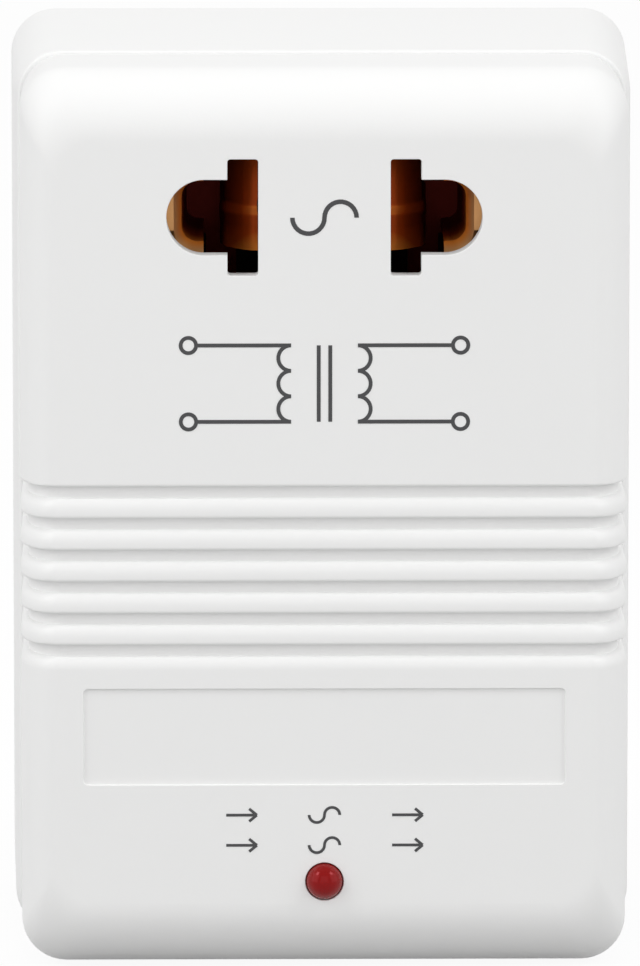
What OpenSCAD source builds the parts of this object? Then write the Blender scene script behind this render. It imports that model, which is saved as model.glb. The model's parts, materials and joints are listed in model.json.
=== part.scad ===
// Plug-in travel voltage converter with a blade-and-pin socket on its face
// and two folding plugs, one of round pins and one of flat blades, in its back.
// Millimetres. X is right, Y is towards the back, Z is up, and the base is at Z = 0.

/* [Case] */
// Width of the front shell
case_w = 47.6; // [46:0.1:60]
// Height of the front shell
case_h = 70.8; // [70:0.1:90]
// Depth of the front shell, from its face to the seam
front_depth = 15; // [14:0.5:22]
// Depth of the rear casing, from the seam to its back
rear_depth = 27; // [26:0.5:36]
// Thickness of the moulded walls
wall = 2; // [1.6:0.1:2.4]
// How far the rear casing has widened at its back, on its sides and top
flare = 1.2; // [0:0.1:2]
// How far the rear casing stands proud of the front shell at the seam
seam_step = 0.25; // [0:0.05:0.6]
// Corner radius of the case, seen from the front
corner_r = 3.5; // [3:0.1:6]
// Radius of the top and bottom edges of the face
face_fillet = 5.5; // [4:0.1:6.5]
// Radius of the side edges of the face
side_fillet = 2.8; // [2.5:0.1:3.8]
// Radius of the edges of the back
back_fillet = 1.6; // [0.8:0.1:2]
// Depth of the tongue that closes the seam
lip_depth = 1.6; // [1:0.1:2.5]
// Thickness of the tongue
lip_t = 0.9; // [0.6:0.1:1]

/* [Socket] */
// Height of the socket's centre below the top of the front shell
socket_drop = 11.3; // [10:0.1:13]
// Spacing of the flat slots
slot_pitch = 12.7; // [12.7:0.1:13.2]
// Width of a flat slot
slot_w = 2.4; // [2:0.1:2.6]
// Height of a flat slot
slot_h = 9.1; // [8:0.1:9.6]
// Spacing of the round holes
hole_pitch = 19; // [18.6:0.1:19.6]
// Diameter of a round hole
hole_d = 5.9; // [5.2:0.1:6.2]
// Thickness of the contact strip
strip_t = 0.5; // [0.4:0.05:0.6]

/* [Ribs] */
// Number of grooves across the face
groove_count = 6; // [3:1:7]
// Pitch of the grooves
groove_pitch = 2.5; // [2:0.1:2.8]
// Height of a groove
groove_h = 0.9; // [0.5:0.05:1.3]
// Depth of a groove
groove_depth = 0.4; // [0.2:0.05:0.7]
// Height of the middle of the grooves
groove_mid_z = 31.7; // [30:0.1:33]

/* [Panel] */
// Width of the blank panel
panel_w = 37.7; // [30:0.1:38.5]
// Height of the blank panel
panel_h = 7.6; // [5:0.1:8]
// Depth of the blank panel
panel_depth = 0.35; // [0.2:0.05:0.6]
// Height of the middle of the panel
panel_z = 18.6; // [17:0.1:19.5]

/* [Lamp] */
// Height of the lamp
lamp_z = 7.1; // [6.8:0.1:8]
// Diameter of the lamp
lamp_d = 2.9; // [2.4:0.1:3.2]
// How far the lamp's dome stands out of the face
lamp_proud = 1.1; // [0.4:0.1:1.4]

/* [Plugs] */
// How far both plugs reach out of the back
plug_reach = 18.5; // [16:0.1:19]
// Depth of the plug axles below the back
axle_depth = 3.4; // [3.4:0.05:4]
// Diameter of the plug axles
axle_d = 2; // [1.6:0.1:2.4]
// Radial clearance of the axles in the casing
axle_gap = 0.05; // [0.02:0.01:0.1]
// Radius of the barrels that carry the pins and blades
barrel_r = 3.3; // [3.2:0.05:3.4]
// Height of the round-pin axle below the top of the front shell
round_drop = 9.3; // [9:0.1:11]
// Spacing of the round pins
pin_pitch = 19; // [18:0.1:20]
// Diameter of a round pin
pin_d = 4; // [3.8:0.1:4.8]
// Diameter of a round pin's tail in the carriage
pin_tail_d = 3.2; // [2.6:0.1:3.6]
// Half width of the round-pin carriage
round_half = 14.5; // [14:0.1:15]
// Height of the blade axle
blade_z = 10; // [9:0.1:11]
// Spacing of the flat blades
blade_pitch = 12.7; // [12.2:0.1:13.2]
// Width of a blade
blade_w = 6.35; // [6:0.05:6.5]
// Thickness of a blade
blade_t = 1.5; // [1.3:0.1:1.6]
// Half width of the blade carriage
blade_half = 10.2; // [10:0.1:11]

/* [Transformer] */
// Room between the core and the side walls, which sets the width of the laminations
core_gap = 1.7; // [1.3:0.1:3]
// Thickness of the stack of laminations
stack = 14; // [10:0.5:15]
// Height of the underside of the core
core_z = 9; // [8:0.1:10]
// Depth of the core's front face behind the face of the case
core_inset = 11; // [10.5:0.1:11.5]
// Room between the coil and the outer limbs of the core, which sets the thickness of the windings
coil_gap = 0.7; // [0.5:0.1:2]
// Thickness of the tape between the windings
tape_t = 0.3; // [0.1:0.05:0.4]
// Diameter of the lead wires
wire_d = 1.3; // [0.8:0.1:1.4]

/* [Screws] */
// Diameter of the case screws
screw_d = 2.2; // [2:0.1:2.6]
// Diameter of the case screws' heads
head_d = 4.4; // [3.8:0.1:4.6]
// Distance of the case screws from the sides
screw_in_x = 4.6; // [4.4:0.1:5]
// Distance of the case screws from the top and bottom
screw_in_z = 4.8; // [4.6:0.1:5.2]

/* [Hidden] */
$fn = 48;

// Main planes of the case
seam_y = -6;
face_y = seam_y - front_depth;
back_y = seam_y + rear_depth;
meet_y = seam_y + lip_depth;
inner_face_y = face_y + wall;
half_w = case_w / 2;
inner_half = half_w - wall;
inner_top = case_h - wall;
lip_gap = 0.1;
form_fn = 24;
skin = 0.02;
over = 1;
fuse = 0.3;

// Screws that hold the two halves
boss_r = head_d / 2 + 1.2;
pillar_r = 3;
screw_x = half_w - screw_in_x;
screw_zs = [screw_in_z, case_h - screw_in_z];
head_h = 1.6;
head_sink = 8;
head_seat_y = back_y - head_sink;
screw_blind = 5;
screw_end_y = inner_face_y + screw_blind;

// Socket
socket_z = case_h - socket_drop;
slot_x = slot_pitch / 2;
hole_x = hole_pitch / 2;
cradle_r = hole_d / 2 - 0.4;
contact_front_y = inner_face_y + 2;
contact_back_y = seam_y + 1;
cradle_x = hole_x;
leaf_x = slot_x - slot_w / 2 - 0.15;
leaf_half_h = 4;
ridge_h = 0.8;
tail_drop = 4.6;
carrier_t = 2;
carrier_back_y = contact_back_y + carrier_t;
carrier_half_w = cradle_x + cradle_r + strip_t + 1.5;
carrier_half_h = 6.2;
carrier_post_r = 2.2;
carrier_screw_d = 1.8;
carrier_screw_grip = 5;
carrier_head_h = 1.2;
carrier_rim_y = contact_front_y + 2;
carrier_screw_half = 3.6;
carrier_screw_zs = [socket_z - carrier_screw_half, socket_z + carrier_screw_half];

// Lamp and its board
lamp_flange_d = lamp_d + 0.8;
lamp_flange_t = 1;
lamp_back_y = inner_face_y + lamp_flange_t;
board_standoff = 5.4;
board_y = inner_face_y + board_standoff;
board_t = 1.2;
board_half_w = 9;
board_z = [3.4, 13];
lamp_pitch = 1.27;
lead_r = 0.25;
stake_x = 7.2;
stake_z = 5.4;
stake_r = 0.7;
resistor_z = 11;
resistor_r = 0.9;
resistor_half = 3;
lamp_wire_x = 7.8;
lamp_wire_z = 11.2;
lamp_wire_d = 1;

// Folding plugs
axle_y = back_y - axle_depth;
round_z = case_h - round_drop;
plug_len = back_y + plug_reach - axle_y;
block_out = barrel_r + 0.05;
block_half = 2.8;
sweep_r = norm([block_out, block_half]) + 0.35;
pocket_gap = 0.3;
pocket_floor_y = axle_y - barrel_r - 0.4;
pocket_wall = 1.5;
ear_t = 2;
inner_floor_y = pocket_floor_y - pocket_wall;
pin_x = pin_pitch / 2;
pin_channel_r = pin_d / 2 + 0.45;
pin_end_z = round_z - plug_len - 0.8;
blade_x = blade_pitch / 2;
blade_slot_half = blade_t / 2 + 0.45;
blade_end_z = blade_z + plug_len + 0.8;
tang_w = 3;
grip_depth = 3.2;
grip_h = 7;
axle_in = 2.2;

// Leaf contacts behind the pockets
leaf_t = 0.4;
leaf_w = 3;
leaf_gap = 0.15;
window_half = 3.2;
leaf_run = 6.4;
hump_y = axle_y - barrel_r - leaf_gap;
leaf_stake_r = 0.6;

// Transformer
core_w = 2 * (inner_half - core_gap);
tongue = core_w / 3;
limb = tongue / 2;
core_h = 2.5 * tongue;
core_front_y = face_y + core_inset;
core_back_y = core_front_y + stack;
core_mid_y = (core_front_y + core_back_y) / 2;
window_z = [core_z + limb, core_z + core_h - limb];
bobbin_gap = 0.2;
bobbin_t = 0.9;
bobbin_z = [window_z[0] + bobbin_gap, window_z[1] - bobbin_gap];
tube_w = tongue + 2 * (bobbin_gap + bobbin_t);
tube_d = stack + 2 * (bobbin_gap + bobbin_t);
coil_z = [bobbin_z[0] + bobbin_t, bobbin_z[1] - bobbin_t];
winding_t = (limb - bobbin_gap - bobbin_t - coil_gap) / 2 - tape_t;
build_1 = winding_t;
build_2 = build_1 + tape_t;
build_3 = build_2 + winding_t;
build_4 = build_3 + tape_t;
flange_over = 0.2;
coil_front_y = core_mid_y - tube_d / 2 - build_4;
flange_back_y = core_mid_y + tube_d / 2 + build_4 + flange_over;
post_r = 2.2;
post_x = core_w / 2 - limb / 2;
post_in_z = 3;
post_zs = [core_z + post_in_z, core_z + core_h - post_in_z];
ledge_half_t = 1;
sheet_t = 0.4;
rail_gap = 0.5;
rail_h = 3;
rail_half_w = 12.6;
terminal_r = 0.45;
terminal_xs = [1.6, 4.6, 7.6, 10.6];
terminal_y = (coil_front_y + core_front_y) / 2;
terminal_h = 3;
terminal_z = bobbin_z[1] + rail_h + terminal_h;
fuse_size = [9, 1.6, 5];
fuse_lead = 3;

// Wire routes on the right-hand side, chosen by hand, each from a terminal to its contact
wire_rise = 2;
wire_gap = 0.15;
socket_wire_x = hole_x - 1.5;
socket_wire_y = contact_back_y - strip_t / 2;
leaf_wire_y = inner_floor_y - wire_d / 2 - wire_gap;
blade_tab_z = blade_z + window_half + leaf_run - 1.2;
wire_top_z = terminal_z + wire_rise;
side_wire_x = post_x - post_r - wire_d / 2 - wire_gap;
socket_tail_z = socket_z - cradle_r - strip_t - tail_drop;
socket_climb = socket_tail_z - wire_top_z;
round_tail_z = round_z - window_half - leaf_run;
round_climb = round_tail_z - wire_top_z;
socket_route = [[terminal_xs[0], terminal_y, terminal_z], [terminal_xs[0], terminal_y, wire_top_z],
    [4.6, -10, wire_top_z + 0.3 * socket_climb],
    [socket_wire_x - 0.4, socket_wire_y - 1, wire_top_z + 0.45 * socket_climb],
    [socket_wire_x, socket_wire_y, wire_top_z + 0.7 * socket_climb],
    [socket_wire_x, socket_wire_y, socket_tail_z]];
round_route = [[terminal_xs[1], terminal_y, terminal_z], [terminal_xs[1], terminal_y, wire_top_z],
    [7.4, -8, wire_top_z + 0.18 * round_climb], [pin_x, 2, wire_top_z + 0.13 * round_climb],
    [pin_x, leaf_wire_y - 2.4, wire_top_z + 0.25 * round_climb],
    [pin_x, leaf_wire_y - 0.4, wire_top_z + 0.53 * round_climb],
    [pin_x, leaf_wire_y, wire_top_z + 0.76 * round_climb],
    [pin_x, leaf_wire_y, round_tail_z]];
blade_route = [[terminal_xs[2], terminal_y, terminal_z], [terminal_xs[2], terminal_y, wire_top_z],
    [12, -9, terminal_z + 3], [side_wire_x, 0, terminal_z + 3.2],
    [side_wire_x, 6, terminal_z + 2], [side_wire_x, 7.4, terminal_z - 4], [side_wire_x, 7.6, 26],
    [side_wire_x + 0.6, 9.4, 21], [side_wire_x - 0.2, leaf_wire_y - 0.1, blade_tab_z + 0.8],
    [11, leaf_wire_y, blade_tab_z], [blade_x + leaf_w / 2, leaf_wire_y, blade_tab_z]];
lamp_route = [[terminal_xs[3], terminal_y, terminal_z], [terminal_xs[3], terminal_y, wire_top_z],
    [12.6, terminal_y - 0.4, terminal_z + 2.6], [side_wire_x - 0.1, terminal_y - 0.8, terminal_z - 2],
    [side_wire_x, terminal_y - 1, 26], [side_wire_x - 0.2, terminal_y - 1.2, 15], [11, board_y - 2.2, lamp_wire_z + 0.4],
    [lamp_wire_x, board_y - 1.6, lamp_wire_z], [lamp_wire_x, board_y, lamp_wire_z]];

// Colours
shell_white = [0.91, 0.91, 0.9];
nylon_white = [0.86, 0.85, 0.8];
phenolic_brown = [0.1, 0.06, 0.04];
bronze = [0.78, 0.5, 0.3];
nickel = [0.75, 0.74, 0.7];
steel = [0.55, 0.56, 0.58];
lamp_red = [0.7, 0.05, 0.03];
copper = [0.7, 0.34, 0.16];

function unit(v) = v / norm(v);
function on_left(points) = [for (p = points) [-p[0], p[1], p[2]]];

// Rounded rectangle centred on the origin
module rounded(w, h, r) {
    square([w - 2 * r, h], center = true);
    square([w, h - 2 * r], center = true);
    for (sx = [-1, 1], sy = [-1, 1])
        translate([sx * (w / 2 - r), sy * (h / 2 - r)]) circle(r);
}

// Upright prism of an outline in X and Z, from y0 back to y1
module along_y(y0, y1) {
    translate([0, y1, 0]) rotate([90, 0, 0]) linear_extrude(y1 - y0) children();
}

// Round bar along Y
module bar_y(r, x, z, y0, y1) {
    translate([x, y0, z]) rotate([-90, 0, 0]) cylinder(r = r, h = y1 - y0);
}

// Round bar along X
module bar_x(r, y, z, x0, x1) {
    translate([x0, y, z]) rotate([0, 90, 0]) cylinder(r = r, h = x1 - x0);
}

// Block between two corners
module block(lo, hi) {
    translate(lo) cube(hi - lo);
}

// Both sides of a piece that is drawn on the right
module both() {
    children();
    mirror([1, 0, 0]) children();
}

// Rounded outline of the case, from z0 to z1
module case_outline(w, z0, z1, r) {
    translate([0, (z0 + z1) / 2]) rounded(w, z1 - z0, r);
}

// Points of a smooth curve through a route
function curve_point(p, i, t) =
    let (a = p[max(i - 1, 0)], b = p[i], c = p[i + 1], d = p[min(i + 2, len(p) - 1)])
    0.5 * (2 * b + (c - a) * t + (2 * a - 5 * b + 4 * c - d) * t * t + (3 * b - a - 3 * c + d) * t * t * t);
function curve(p, n) = concat(
    [for (i = [0 : len(p) - 2], k = [0 : n - 1]) curve_point(p, i, k / n)], [p[len(p) - 1]]);
function tangent(route, c, i) =
    i == 0 ? unit(route[1] - route[0]) :
    i == len(c) - 1 ? unit(route[len(route) - 1] - route[len(route) - 2]) : unit(c[i + 1] - c[i - 1]);
function carried(t, i, seed) =
    i == len(t) ? [] :
    let (n = unit(seed - (seed * t[i]) * t[i])) concat([n], carried(t, i + 1, n));

// Wire swept along a smooth curve through a route, square at its ends
module wire(route, d) {
    sides = 8;
    c = curve(route, 3);
    t = [for (i = [0 : len(c) - 1]) tangent(route, c, i)];
    n = carried(t, 0, [0.3, 1, 0.2]);
    last = len(c) - 1;
    rings = [for (i = [0 : last], k = [0 : sides - 1])
        let (a = 360 * k / sides) c[i] + d / 2 * (cos(a) * n[i] + sin(a) * cross(t[i], n[i]))];
    walls = [for (i = [0 : last - 1], k = [0 : sides - 1])
        let (j = (k + 1) % sides, p = i * sides, q = p + sides)
        each [[p + k, q + k, q + j], [p + k, q + j, p + j]]];
    start = [for (k = [0 : sides - 1]) k];
    end = [for (k = [sides - 1 : -1 : 0]) last * sides + k];
    polyhedron(points = rings, faces = concat(walls, [start, end]));
}

// Outline that is square at y1 and has its two front corners rounded
module front_rounded(span, r, y0, y1) {
    translate([y0, r - span / 2]) square([y1 - y0, span - 2 * r]);
    translate([y0 + r, -span / 2]) square([y1 - y0 - r, span]);
    for (s = [-1, 1])
        translate([y0 + r, s * (span / 2 - r)]) circle(r);
}

// Outer form of the front shell, or the same form a distance inside it
module front_form(inset, y1) {
    y0 = face_y + inset;
    w = case_w - 2 * inset;
    h = case_h - 2 * inset;
    intersection() {
        along_y(y0, y1) case_outline(w, inset, case_h - inset, corner_r - inset);
        translate([-half_w, 0, case_h / 2]) rotate([90, 0, 90])
            linear_extrude(case_w) front_rounded(h, face_fillet - inset, y0, y1);
        rotate([0, 0, 90]) linear_extrude(case_h) front_rounded(w, side_fillet - inset, y0, y1);
    }
}

// Outer form of the rear casing, flat underneath and flared on the other sides
module rear_form() {
    steps = 4;
    rim = back_y - back_fillet;
    hull() {
        along_y(seam_y, seam_y + skin)
            case_outline(case_w + 2 * seam_step, 0, case_h + seam_step, corner_r, $fn = form_fn);
        for (i = [0 : steps]) {
            a = 90 * i / steps;
            dx = back_fillet * (1 - cos(a));
            y = rim + back_fillet * sin(a) - skin;
            along_y(y, y + skin)
                case_outline(case_w + 2 * flare - 2 * dx, dx, case_h + flare - dx, corner_r - dx, $fn = form_fn);
        }
    }
}

// Openings of the socket: a flat slot with a round hole on its outer side
module socket_holes() {
    both()
        along_y(face_y - over, inner_face_y + over)
            translate([0, socket_z]) {
                translate([slot_x - slot_w / 2, -slot_h / 2]) square([slot_w, slot_h]);
                translate([slot_x, -hole_d / 2]) square([hole_x - slot_x, hole_d]);
                translate([hole_x, 0]) circle(d = hole_d);
            }
}

module grooves() {
    first = groove_mid_z - (groove_count - 1) * groove_pitch / 2;
    difference() {
        for (i = [0 : groove_count - 1]) {
            z = first + i * groove_pitch;
            block([-half_w - over, face_y - over, z - groove_h / 2], [half_w + over, seam_y, z + groove_h / 2]);
        }
        front_form(groove_depth, seam_y + over);
    }
}

module front_shell() {
    color(shell_white)
    difference() {
        union() {
            difference() {
                front_form(0, seam_y);
                front_form(wall, seam_y + over);
            }
            along_y(seam_y - over, meet_y)
                difference() {
                    case_outline(2 * (inner_half + lip_t), wall - lip_t, inner_top + lip_t, corner_r - wall + lip_t);
                    case_outline(2 * inner_half, wall, inner_top, corner_r - wall);
                }
            both()
                for (z = screw_zs)
                    bar_y(pillar_r, screw_x, z, inner_face_y - fuse, meet_y);
            both()
                for (z = post_zs)
                    bar_y(post_r, post_x, z, inner_face_y - fuse, core_front_y);
            for (z = carrier_screw_zs)
                bar_y(carrier_post_r, 0, z, inner_face_y - fuse, contact_back_y);
            both() {
                bar_y(stake_r + 0.8, stake_x, stake_z, inner_face_y - fuse, board_y);
                bar_y(stake_r, stake_x, stake_z, board_y - fuse, board_y + board_t + 0.5);
            }
        }
        socket_holes();
        grooves();
        block([-panel_w / 2, face_y - over, panel_z - panel_h / 2],
            [panel_w / 2, face_y + panel_depth, panel_z + panel_h / 2]);
        bar_y(lamp_d / 2 + 0.05, 0, lamp_z, face_y - over, inner_face_y + over);
        both()
            for (z = screw_zs)
                bar_y(screw_d / 2, screw_x, z, screw_end_y, meet_y + over);
        for (z = carrier_screw_zs)
            bar_y(carrier_screw_d / 2, 0, z, contact_back_y - carrier_screw_grip - over, contact_back_y + over);
    }
}

// Solid block that a plug's pocket is sunk into, inside the rear wall
module pocket_block(half, z0, z1) {
    block([-half, inner_floor_y, z0], [half, back_y - wall + fuse, z1]);
}

// Space that a plug's carriage turns in, and the bores for its axles
module pocket(half, z) {
    block([-half - pocket_gap, pocket_floor_y, z - sweep_r], [half + pocket_gap, back_y + over, z + sweep_r]);
    both()
        bar_x(axle_d / 2 + axle_gap, axle_y, z, half - over, half + pocket_gap + ear_t + over);
}

// Window for a leaf contact, through the floor of a pocket
module leaf_window(x, z) {
    block([x - leaf_w / 2 - 0.4, inner_floor_y - over, z - window_half],
        [x + leaf_w / 2 + 0.4, pocket_floor_y + over, z + window_half]);
}

module rear_casing() {
    round_side = round_half + pocket_gap + ear_t;
    blade_side = blade_half + pocket_gap + ear_t;
    color(shell_white)
    difference() {
        union() {
            difference() {
                rear_form();
                along_y(seam_y - over, back_y - wall)
                    case_outline(2 * inner_half, wall, inner_top, corner_r - wall);
            }
            pocket_block(round_side, round_z - sweep_r - pocket_wall - leaf_run, round_z + sweep_r + pocket_wall);
            pocket_block(pin_x + pin_channel_r + pocket_wall, pin_end_z - pocket_wall, round_z);
            pocket_block(blade_side, blade_z - sweep_r - pocket_wall, blade_z + sweep_r + pocket_wall);
            pocket_block(blade_x + blade_slot_half + pocket_wall, blade_z, blade_end_z + pocket_wall);
            both()
                for (z = screw_zs)
                    bar_y(boss_r, screw_x, z, meet_y, back_y - wall + fuse);
            both()
                for (z = post_zs)
                    bar_y(post_r, post_x, z, core_back_y, back_y - wall + fuse);
            both()
                block([post_x - ledge_half_t, core_mid_y, wall - fuse],
                    [post_x + ledge_half_t, core_back_y, core_z]);
            both() {
                bar_y(leaf_stake_r, pin_x, round_z - window_half - leaf_run / 2,
                    inner_floor_y - leaf_t - 0.5, inner_floor_y + fuse);
                bar_y(leaf_stake_r, blade_x, blade_z + window_half + leaf_run / 2,
                    inner_floor_y - leaf_t - 0.5, inner_floor_y + fuse);
            }
        }
        along_y(seam_y - over, meet_y)
            case_outline(2 * (inner_half + lip_t + lip_gap), wall - lip_t - lip_gap,
                inner_top + lip_t + lip_gap, corner_r - wall + lip_t + lip_gap);
        pocket(round_half, round_z);
        both() {
            bar_channel();
            leaf_window(pin_x, round_z);
            leaf_window(blade_x, blade_z);
            block([blade_x - blade_slot_half, pocket_floor_y, blade_z],
                [blade_x + blade_slot_half, back_y + over, blade_end_z]);
        }
        pocket(blade_half, blade_z);
        block([-pin_x, back_y - grip_depth, pin_end_z + 1], [pin_x, back_y + over, pin_end_z + 1 + grip_h]);
        block([-blade_x, back_y - grip_depth, blade_end_z - 1 - grip_h], [blade_x, back_y + over, blade_end_z - 1]);
        both()
            for (z = screw_zs) {
                bar_y(screw_d / 2 + 0.2, screw_x, z, meet_y - over, head_seat_y);
                bar_y(head_d / 2 + 0.2, screw_x, z, head_seat_y, back_y + over);
            }
    }
}

// Channel that a folded round pin lies in
module bar_channel() {
    block([pin_x - pin_channel_r, axle_y - pin_channel_r, pin_end_z],
        [pin_x + pin_channel_r, back_y + over, round_z]);
}

module case_screws() {
    slot_d = 0.6;
    color(steel)
    both()
        for (z = screw_zs)
            difference() {
                union() {
                    bar_y(screw_d / 2, screw_x, z, screw_end_y, head_seat_y);
                    bar_y(head_d / 2, screw_x, z, head_seat_y, head_seat_y + head_h);
                }
                for (a = [0, 90])
                    translate([screw_x, head_seat_y + head_h, z]) rotate([0, a, 0])
                        cube([head_d * 0.6, 2 * slot_d, slot_d], center = true);
            }
}

module indicator_lamp() {
    dome_y = face_y - lamp_proud + lamp_d / 2;
    color(lamp_red) {
        bar_y(lamp_d / 2, 0, lamp_z, dome_y, lamp_back_y);
        bar_y(lamp_flange_d / 2, 0, lamp_z, inner_face_y, lamp_back_y);
        translate([0, dome_y, lamp_z])
            intersection() {
                sphere(d = lamp_d);
                block([-lamp_d, -lamp_d, -lamp_d], [lamp_d, 0, lamp_d]);
            }
    }
}

module lamp_leads() {
    color(nickel)
    for (s = [-1, 1])
        bar_y(lead_r, s * lamp_pitch, lamp_z, lamp_back_y, board_y + board_t + 0.6);
}

module lamp_board() {
    color([0.72, 0.58, 0.36])
    difference() {
        block([-board_half_w, board_y, board_z[0]], [board_half_w, board_y + board_t, board_z[1]]);
        for (s = [-1, 1]) {
            bar_y(lead_r, s * lamp_pitch, lamp_z, board_y - over, board_y + board_t + over);
            bar_y(stake_r, s * stake_x, stake_z, board_y - over, board_y + board_t + over);
            bar_y(lead_r, s * (resistor_half + 1), resistor_z, board_y - over, board_y + board_t + over);
        }
    }
}

module lamp_resistor() {
    y = board_y - resistor_r - 0.1;
    reach = resistor_half + 1;
    color([0.75, 0.65, 0.45]) {
        bar_x(resistor_r, y, resistor_z, -resistor_half, resistor_half);
        bar_x(lead_r, y, resistor_z, -reach, reach);
        for (s = [-1, 1]) {
            bar_y(lead_r, s * reach, resistor_z, y, board_y + board_t + 0.6);
            translate([s * reach, y, resistor_z]) sphere(r = lead_r);
        }
    }
}

module lamp_wires() {
    color([0.75, 0.12, 0.1]) {
        wire(lamp_route, lamp_wire_d);
        wire(on_left(lamp_route), lamp_wire_d);
    }
}

// Right-hand contact: a half tube for a round pin and a flat leaf for a blade, on one web
module socket_contact() {
    outer_r = cradle_r + strip_t;
    leg_x = slot_x + slot_w / 2;
    ridge_out = 0.25;
    translate([0, 0, socket_z]) {
        along_y(contact_front_y, contact_back_y) {
            difference() {
                union() {
                    translate([cradle_x, 0]) circle(outer_r);
                    translate([leg_x, -outer_r]) square([cradle_x - leg_x, 2 * outer_r]);
                }
                translate([cradle_x, 0]) circle(cradle_r);
                translate([leg_x - over, -cradle_r]) square([cradle_x - leg_x + over, 2 * cradle_r]);
                translate([leg_x - over - outer_r, -outer_r - over]) square([over + outer_r, 2 * (outer_r + over)]);
            }
            translate([leaf_x, -leaf_half_h]) square([strip_t, 2 * leaf_half_h]);
            translate([leaf_x, -ridge_h / 2]) square([strip_t + ridge_out, ridge_h]);
        }
        along_y(contact_back_y - strip_t, contact_back_y) {
            translate([leaf_x, -outer_r]) square([cradle_x + cradle_r - leaf_x, 2 * outer_r]);
            translate([socket_wire_x - 1.2, -outer_r - tail_drop]) square([2.4, tail_drop + over]);
        }
    }
}

module socket_contact_right() {
    color(bronze) socket_contact();
}

module socket_contact_left() {
    color(bronze) mirror([1, 0, 0]) socket_contact();
}

module contact_carrier() {
    rim = 1.2;
    color(phenolic_brown)
    difference() {
        union() {
            block([-carrier_half_w, contact_back_y, socket_z - carrier_half_h],
                [carrier_half_w, carrier_back_y, socket_z + carrier_half_h]);
            both()
                block([carrier_half_w - rim, carrier_rim_y, socket_z - carrier_half_h],
                    [carrier_half_w, contact_back_y + fuse, socket_z + carrier_half_h]);
        }
        for (z = carrier_screw_zs)
            bar_y(carrier_screw_d / 2 + 0.1, 0, z, contact_back_y - over, carrier_back_y + over);
    }
}

module carrier_screws() {
    color(steel)
    for (z = carrier_screw_zs) {
        bar_y(carrier_screw_d / 2, 0, z, contact_back_y - carrier_screw_grip, carrier_back_y);
        bar_y(carrier_screw_d, 0, z, carrier_back_y, carrier_back_y + carrier_head_h);
    }
}

module socket_wires() {
    color([0.15, 0.15, 0.16]) {
        wire(socket_route, wire_d);
        wire(on_left(socket_route), wire_d);
    }
}

// Barrel and block of a folding plug, with its pins pointing back along Y from the origin
module carriage(half) {
    difference() {
        union() {
            bar_x(barrel_r, 0, 0, -half, half);
            block([-half, 0, -block_half], [half, block_out, block_half]);
        }
        children();
        both() bar_x(axle_d / 2, 0, 0, half - axle_in, half + over);
    }
}

// Axle stubs of a folding plug
module stubs(half) {
    both() bar_x(axle_d / 2, 0, 0, half - axle_in, half + pocket_gap + ear_t);
}

// Tail of a pin or blade, cut round to turn with the barrel
module rounded_tail(half) {
    intersection() {
        children();
        union() {
            bar_x(barrel_r, 0, 0, -half, half);
            block([-half, 0, -barrel_r], [half, plug_len, barrel_r]);
        }
    }
}

module at_round_axle() {
    translate([0, axle_y, round_z]) children();
}

// The blades are at rest folded up along the back
module at_blade_axle() {
    translate([0, axle_y, blade_z]) rotate([90, 0, 0]) children();
}

module round_pin_carriage() {
    color(shell_white)
    at_round_axle()
        carriage(round_half)
            both() bar_y(pin_tail_d / 2, pin_x, 0, -barrel_r - over, barrel_r + over);
}

// Round pin with a domed tip, seated by its shoulder on the carriage's block
module round_pin() {
    dome = pin_d / 4;
    tail = pin_tail_d / 2;
    at_round_axle()
        rounded_tail(half_w)
            translate([pin_x, 0, 0]) rotate([-90, 0, 0])
                rotate_extrude()
                    polygon(concat([[0, -barrel_r - over], [tail, -barrel_r - over], [tail, block_out]],
                        [[pin_d / 2, block_out]],
                        [for (a = [0 : 15 : 90])
                            [pin_d / 2 - dome * (1 - cos(a)), plug_len - dome * (1 - sin(a))]],
                        [[0, plug_len]]));
}

module round_pin_right() {
    color(nickel) round_pin();
}

module round_pin_left() {
    color(nickel) mirror([1, 0, 0]) round_pin();
}

module round_pin_axles() {
    color(steel) at_round_axle() stubs(round_half);
}

module blade_carriage() {
    color(shell_white)
    at_blade_axle()
        carriage(blade_half)
            both()
                block([blade_x - blade_t / 2, -barrel_r - over, -tang_w / 2],
                    [blade_x + blade_t / 2, barrel_r + over, tang_w / 2]);
}

// Flat blade with a narrow tang, a chamfered tip and the usual hole near it
module blade() {
    shoulder = block_out + 0.3;
    tip = 1.6;
    hole_from_tip = 4.4;
    hole_r = 1.6;
    at_blade_axle()
        rounded_tail(half_w)
            translate([blade_x - blade_t / 2, 0, 0]) rotate([90, 0, 90]) linear_extrude(blade_t)
                difference() {
                    union() {
                        translate([-barrel_r - over, -tang_w / 2]) square([barrel_r + over + shoulder + over, tang_w]);
                        polygon([[shoulder, -blade_w / 2], [plug_len - tip, -blade_w / 2],
                            [plug_len, -blade_w / 2 + tip], [plug_len, blade_w / 2 - tip],
                            [plug_len - tip, blade_w / 2], [shoulder, blade_w / 2]]);
                    }
                    translate([plug_len - hole_from_tip, 0]) circle(hole_r);
                }
}

module blade_right() {
    color(nickel) blade();
}

module blade_left() {
    color(nickel) mirror([1, 0, 0]) blade();
}

module blade_axles() {
    color(steel) at_blade_axle() stubs(blade_half);
}

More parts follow.
